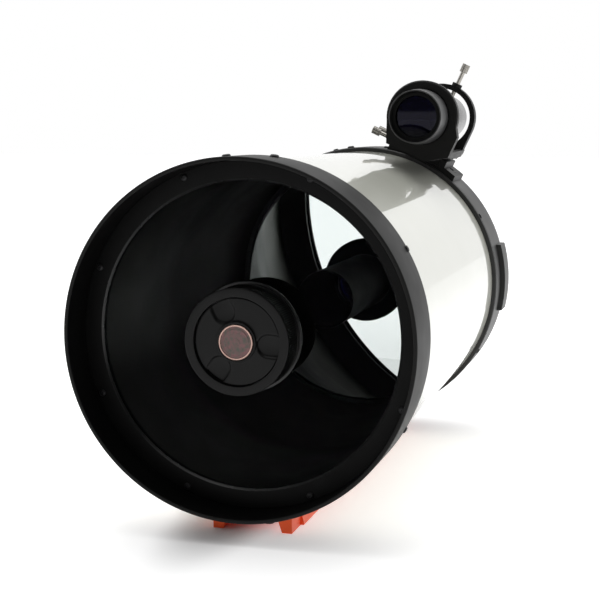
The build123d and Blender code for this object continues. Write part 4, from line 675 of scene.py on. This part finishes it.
# White paper lit from below as well, so that it runs into the background without a line.
FLOOR_GLOW = 0.42
FLOOR_PAPER = finish("matt_white_paper", ("FBFBFB", "F7F7F7"), (0.8, 0.9), patch=400, grain=3, depth=0.01,
                     Specular_IOR_Level=0.1, Emission_Color=(1, 1, 1, 1), Emission_Strength=FLOOR_GLOW)
floor_form = bmesh.new()
bmesh.ops.create_grid(floor_form, x_segments=4, y_segments=4, size=14.0)
floor_mesh = bpy.data.meshes.new("studio_floor")
floor_form.to_mesh(floor_mesh)
floor_form.free()
floor = bpy.data.objects.new("studio_floor", floor_mesh)
bpy.context.scene.collection.objects.link(floor)
floor_mesh.transform(Matrix.Translation((0, 0, -0.0003)))
floor_mesh.materials.append(FLOOR_PAPER)
# The glow stops under the tube: a painted shade on the floor beneath the bar.
PAINTED_SHADE_MIDDLE, PAINTED_SHADE_HALF_WIDTH, PAINTED_SHADE_HALF_LENGTH = -0.035, 0.055, 0.33
paper = FLOOR_PAPER.node_tree
place = add(paper, "ShaderNodeNewGeometry").outputs["Position"]
beside = add(paper, "ShaderNodeVectorMath", {0: place, 1: (PAINTED_SHADE_MIDDLE, 0, 0)},
             operation="SUBTRACT").outputs[0]
scaled = add(paper, "ShaderNodeVectorMath", {0: beside, 1: (1 / PAINTED_SHADE_HALF_WIDTH, 1 / PAINTED_SHADE_HALF_LENGTH, 0)},
             operation="MULTIPLY").outputs["Vector"]
reach = add(paper, "ShaderNodeVectorMath", {0: scaled}, operation="LENGTH").outputs["Value"]
glow = add(paper, "ShaderNodeMapRange", {"Value": reach, "From Min": 0.7, "From Max": 1.3, "To Min": 0.0,
                                         "To Max": FLOOR_GLOW}, interpolation_type="SMOOTHSTEP")
shader = next(node for node in paper.nodes if node.type == "BSDF_PRINCIPLED")
paper.links.new(glow.outputs[0], shader.inputs["Emission Strength"])

DARK_SIDE = Vector((0.25, -0.80, 0.55)).normalized()
DARK_LEVEL = 0.10
DARK_STARTS, DARK_FULL = 0.25, 0.62      # cosines of the angle from the dark side
BAND_TOP, BAND_GONE = 0.04, 0.08         # sines of the height over the horizon
SUN_POWER, SUN_SPREAD, SOFTBOX_POWER = 0.75, 80, 26.0
world = bpy.data.worlds.new("white_studio")
bpy.context.scene.world = world
world.use_nodes = True
world.node_tree.nodes.clear()
# White walls all round, but a dark studio behind and above the camera, which the blacks mirror.
room = world.node_tree
way = add(room, "ShaderNodeTexCoord").outputs["Generated"]
facing = add(room, "ShaderNodeVectorMath", {0: way, 1: DARK_SIDE}, operation="DOT_PRODUCT").outputs["Value"]
shade = add(room, "ShaderNodeMapRange", {"Value": facing, "From Min": DARK_STARTS,
                                         "From Max": DARK_FULL, "To Min": 1.0, "To Max": DARK_LEVEL},
            interpolation_type="SMOOTHSTEP")
height = add(room, "ShaderNodeSeparateXYZ", {0: way}).outputs["Z"]
# The table's white goes on a little above the horizon, for the primary looks out along it.
horizon = add(room, "ShaderNodeMapRange", {"Value": height, "From Min": BAND_TOP,
                                           "From Max": BAND_GONE, "To Min": 1.0,
                                           "To Max": DARK_LEVEL}, interpolation_type="SMOOTHSTEP")
strength = add(room, "ShaderNodeMath", {0: shade.outputs[0], 1: horizon.outputs[0]}, operation="MAXIMUM")
sky = add(room, "ShaderNodeBackground", {"Color": (1, 1, 1, 1), "Strength": strength.outputs[0]})
add(room, "ShaderNodeOutputWorld", {"Surface": sky.outputs[0]})

sun = bpy.data.lights.new("ceiling_glow", "SUN")
sun.energy, sun.angle = SUN_POWER, radians(SUN_SPREAD)
overhead = bpy.data.objects.new("ceiling_glow", sun)
bpy.context.scene.collection.objects.link(overhead)


def softbox(name, place, aim, width, height, power):
    """A soft light that faces a point, both in metres."""
    lamp = bpy.data.lights.new(name, "AREA")
    lamp.shape, lamp.size, lamp.size_y, lamp.energy = "RECTANGLE", width, height, power
    made = bpy.data.objects.new(name, lamp)
    made.location = place
    made.rotation_euler = (Vector(aim) - Vector(place)).to_track_quat("-Z", "Y").to_euler()
    bpy.context.scene.collection.objects.link(made)


softbox("top_softbox", (-0.3, 0.2, 2.4), (0, 0, 0.1), 2.4, 2.4, SOFTBOX_POWER)

EYE = Vector((0.3716, -1.3955, 0.3714))
TURN, TILT = radians(15.857), radians(7.413)
back = Vector((sin(TURN) * cos(TILT), -cos(TURN) * cos(TILT), sin(TILT)))
optics = bpy.data.cameras.new("camera")
optics.lens, optics.sensor_width = 80.86, 36.0
optics.clip_start, optics.clip_end = 0.05, 60.0
camera = bpy.data.objects.new("camera", optics)
camera.location = EYE
camera.rotation_mode = "QUATERNION"
camera.rotation_quaternion = (-back).to_track_quat("-Z", "Y")
bpy.context.scene.collection.objects.link(camera)
bpy.context.scene.camera = camera
bpy.context.scene.view_settings.view_transform = "Standard"
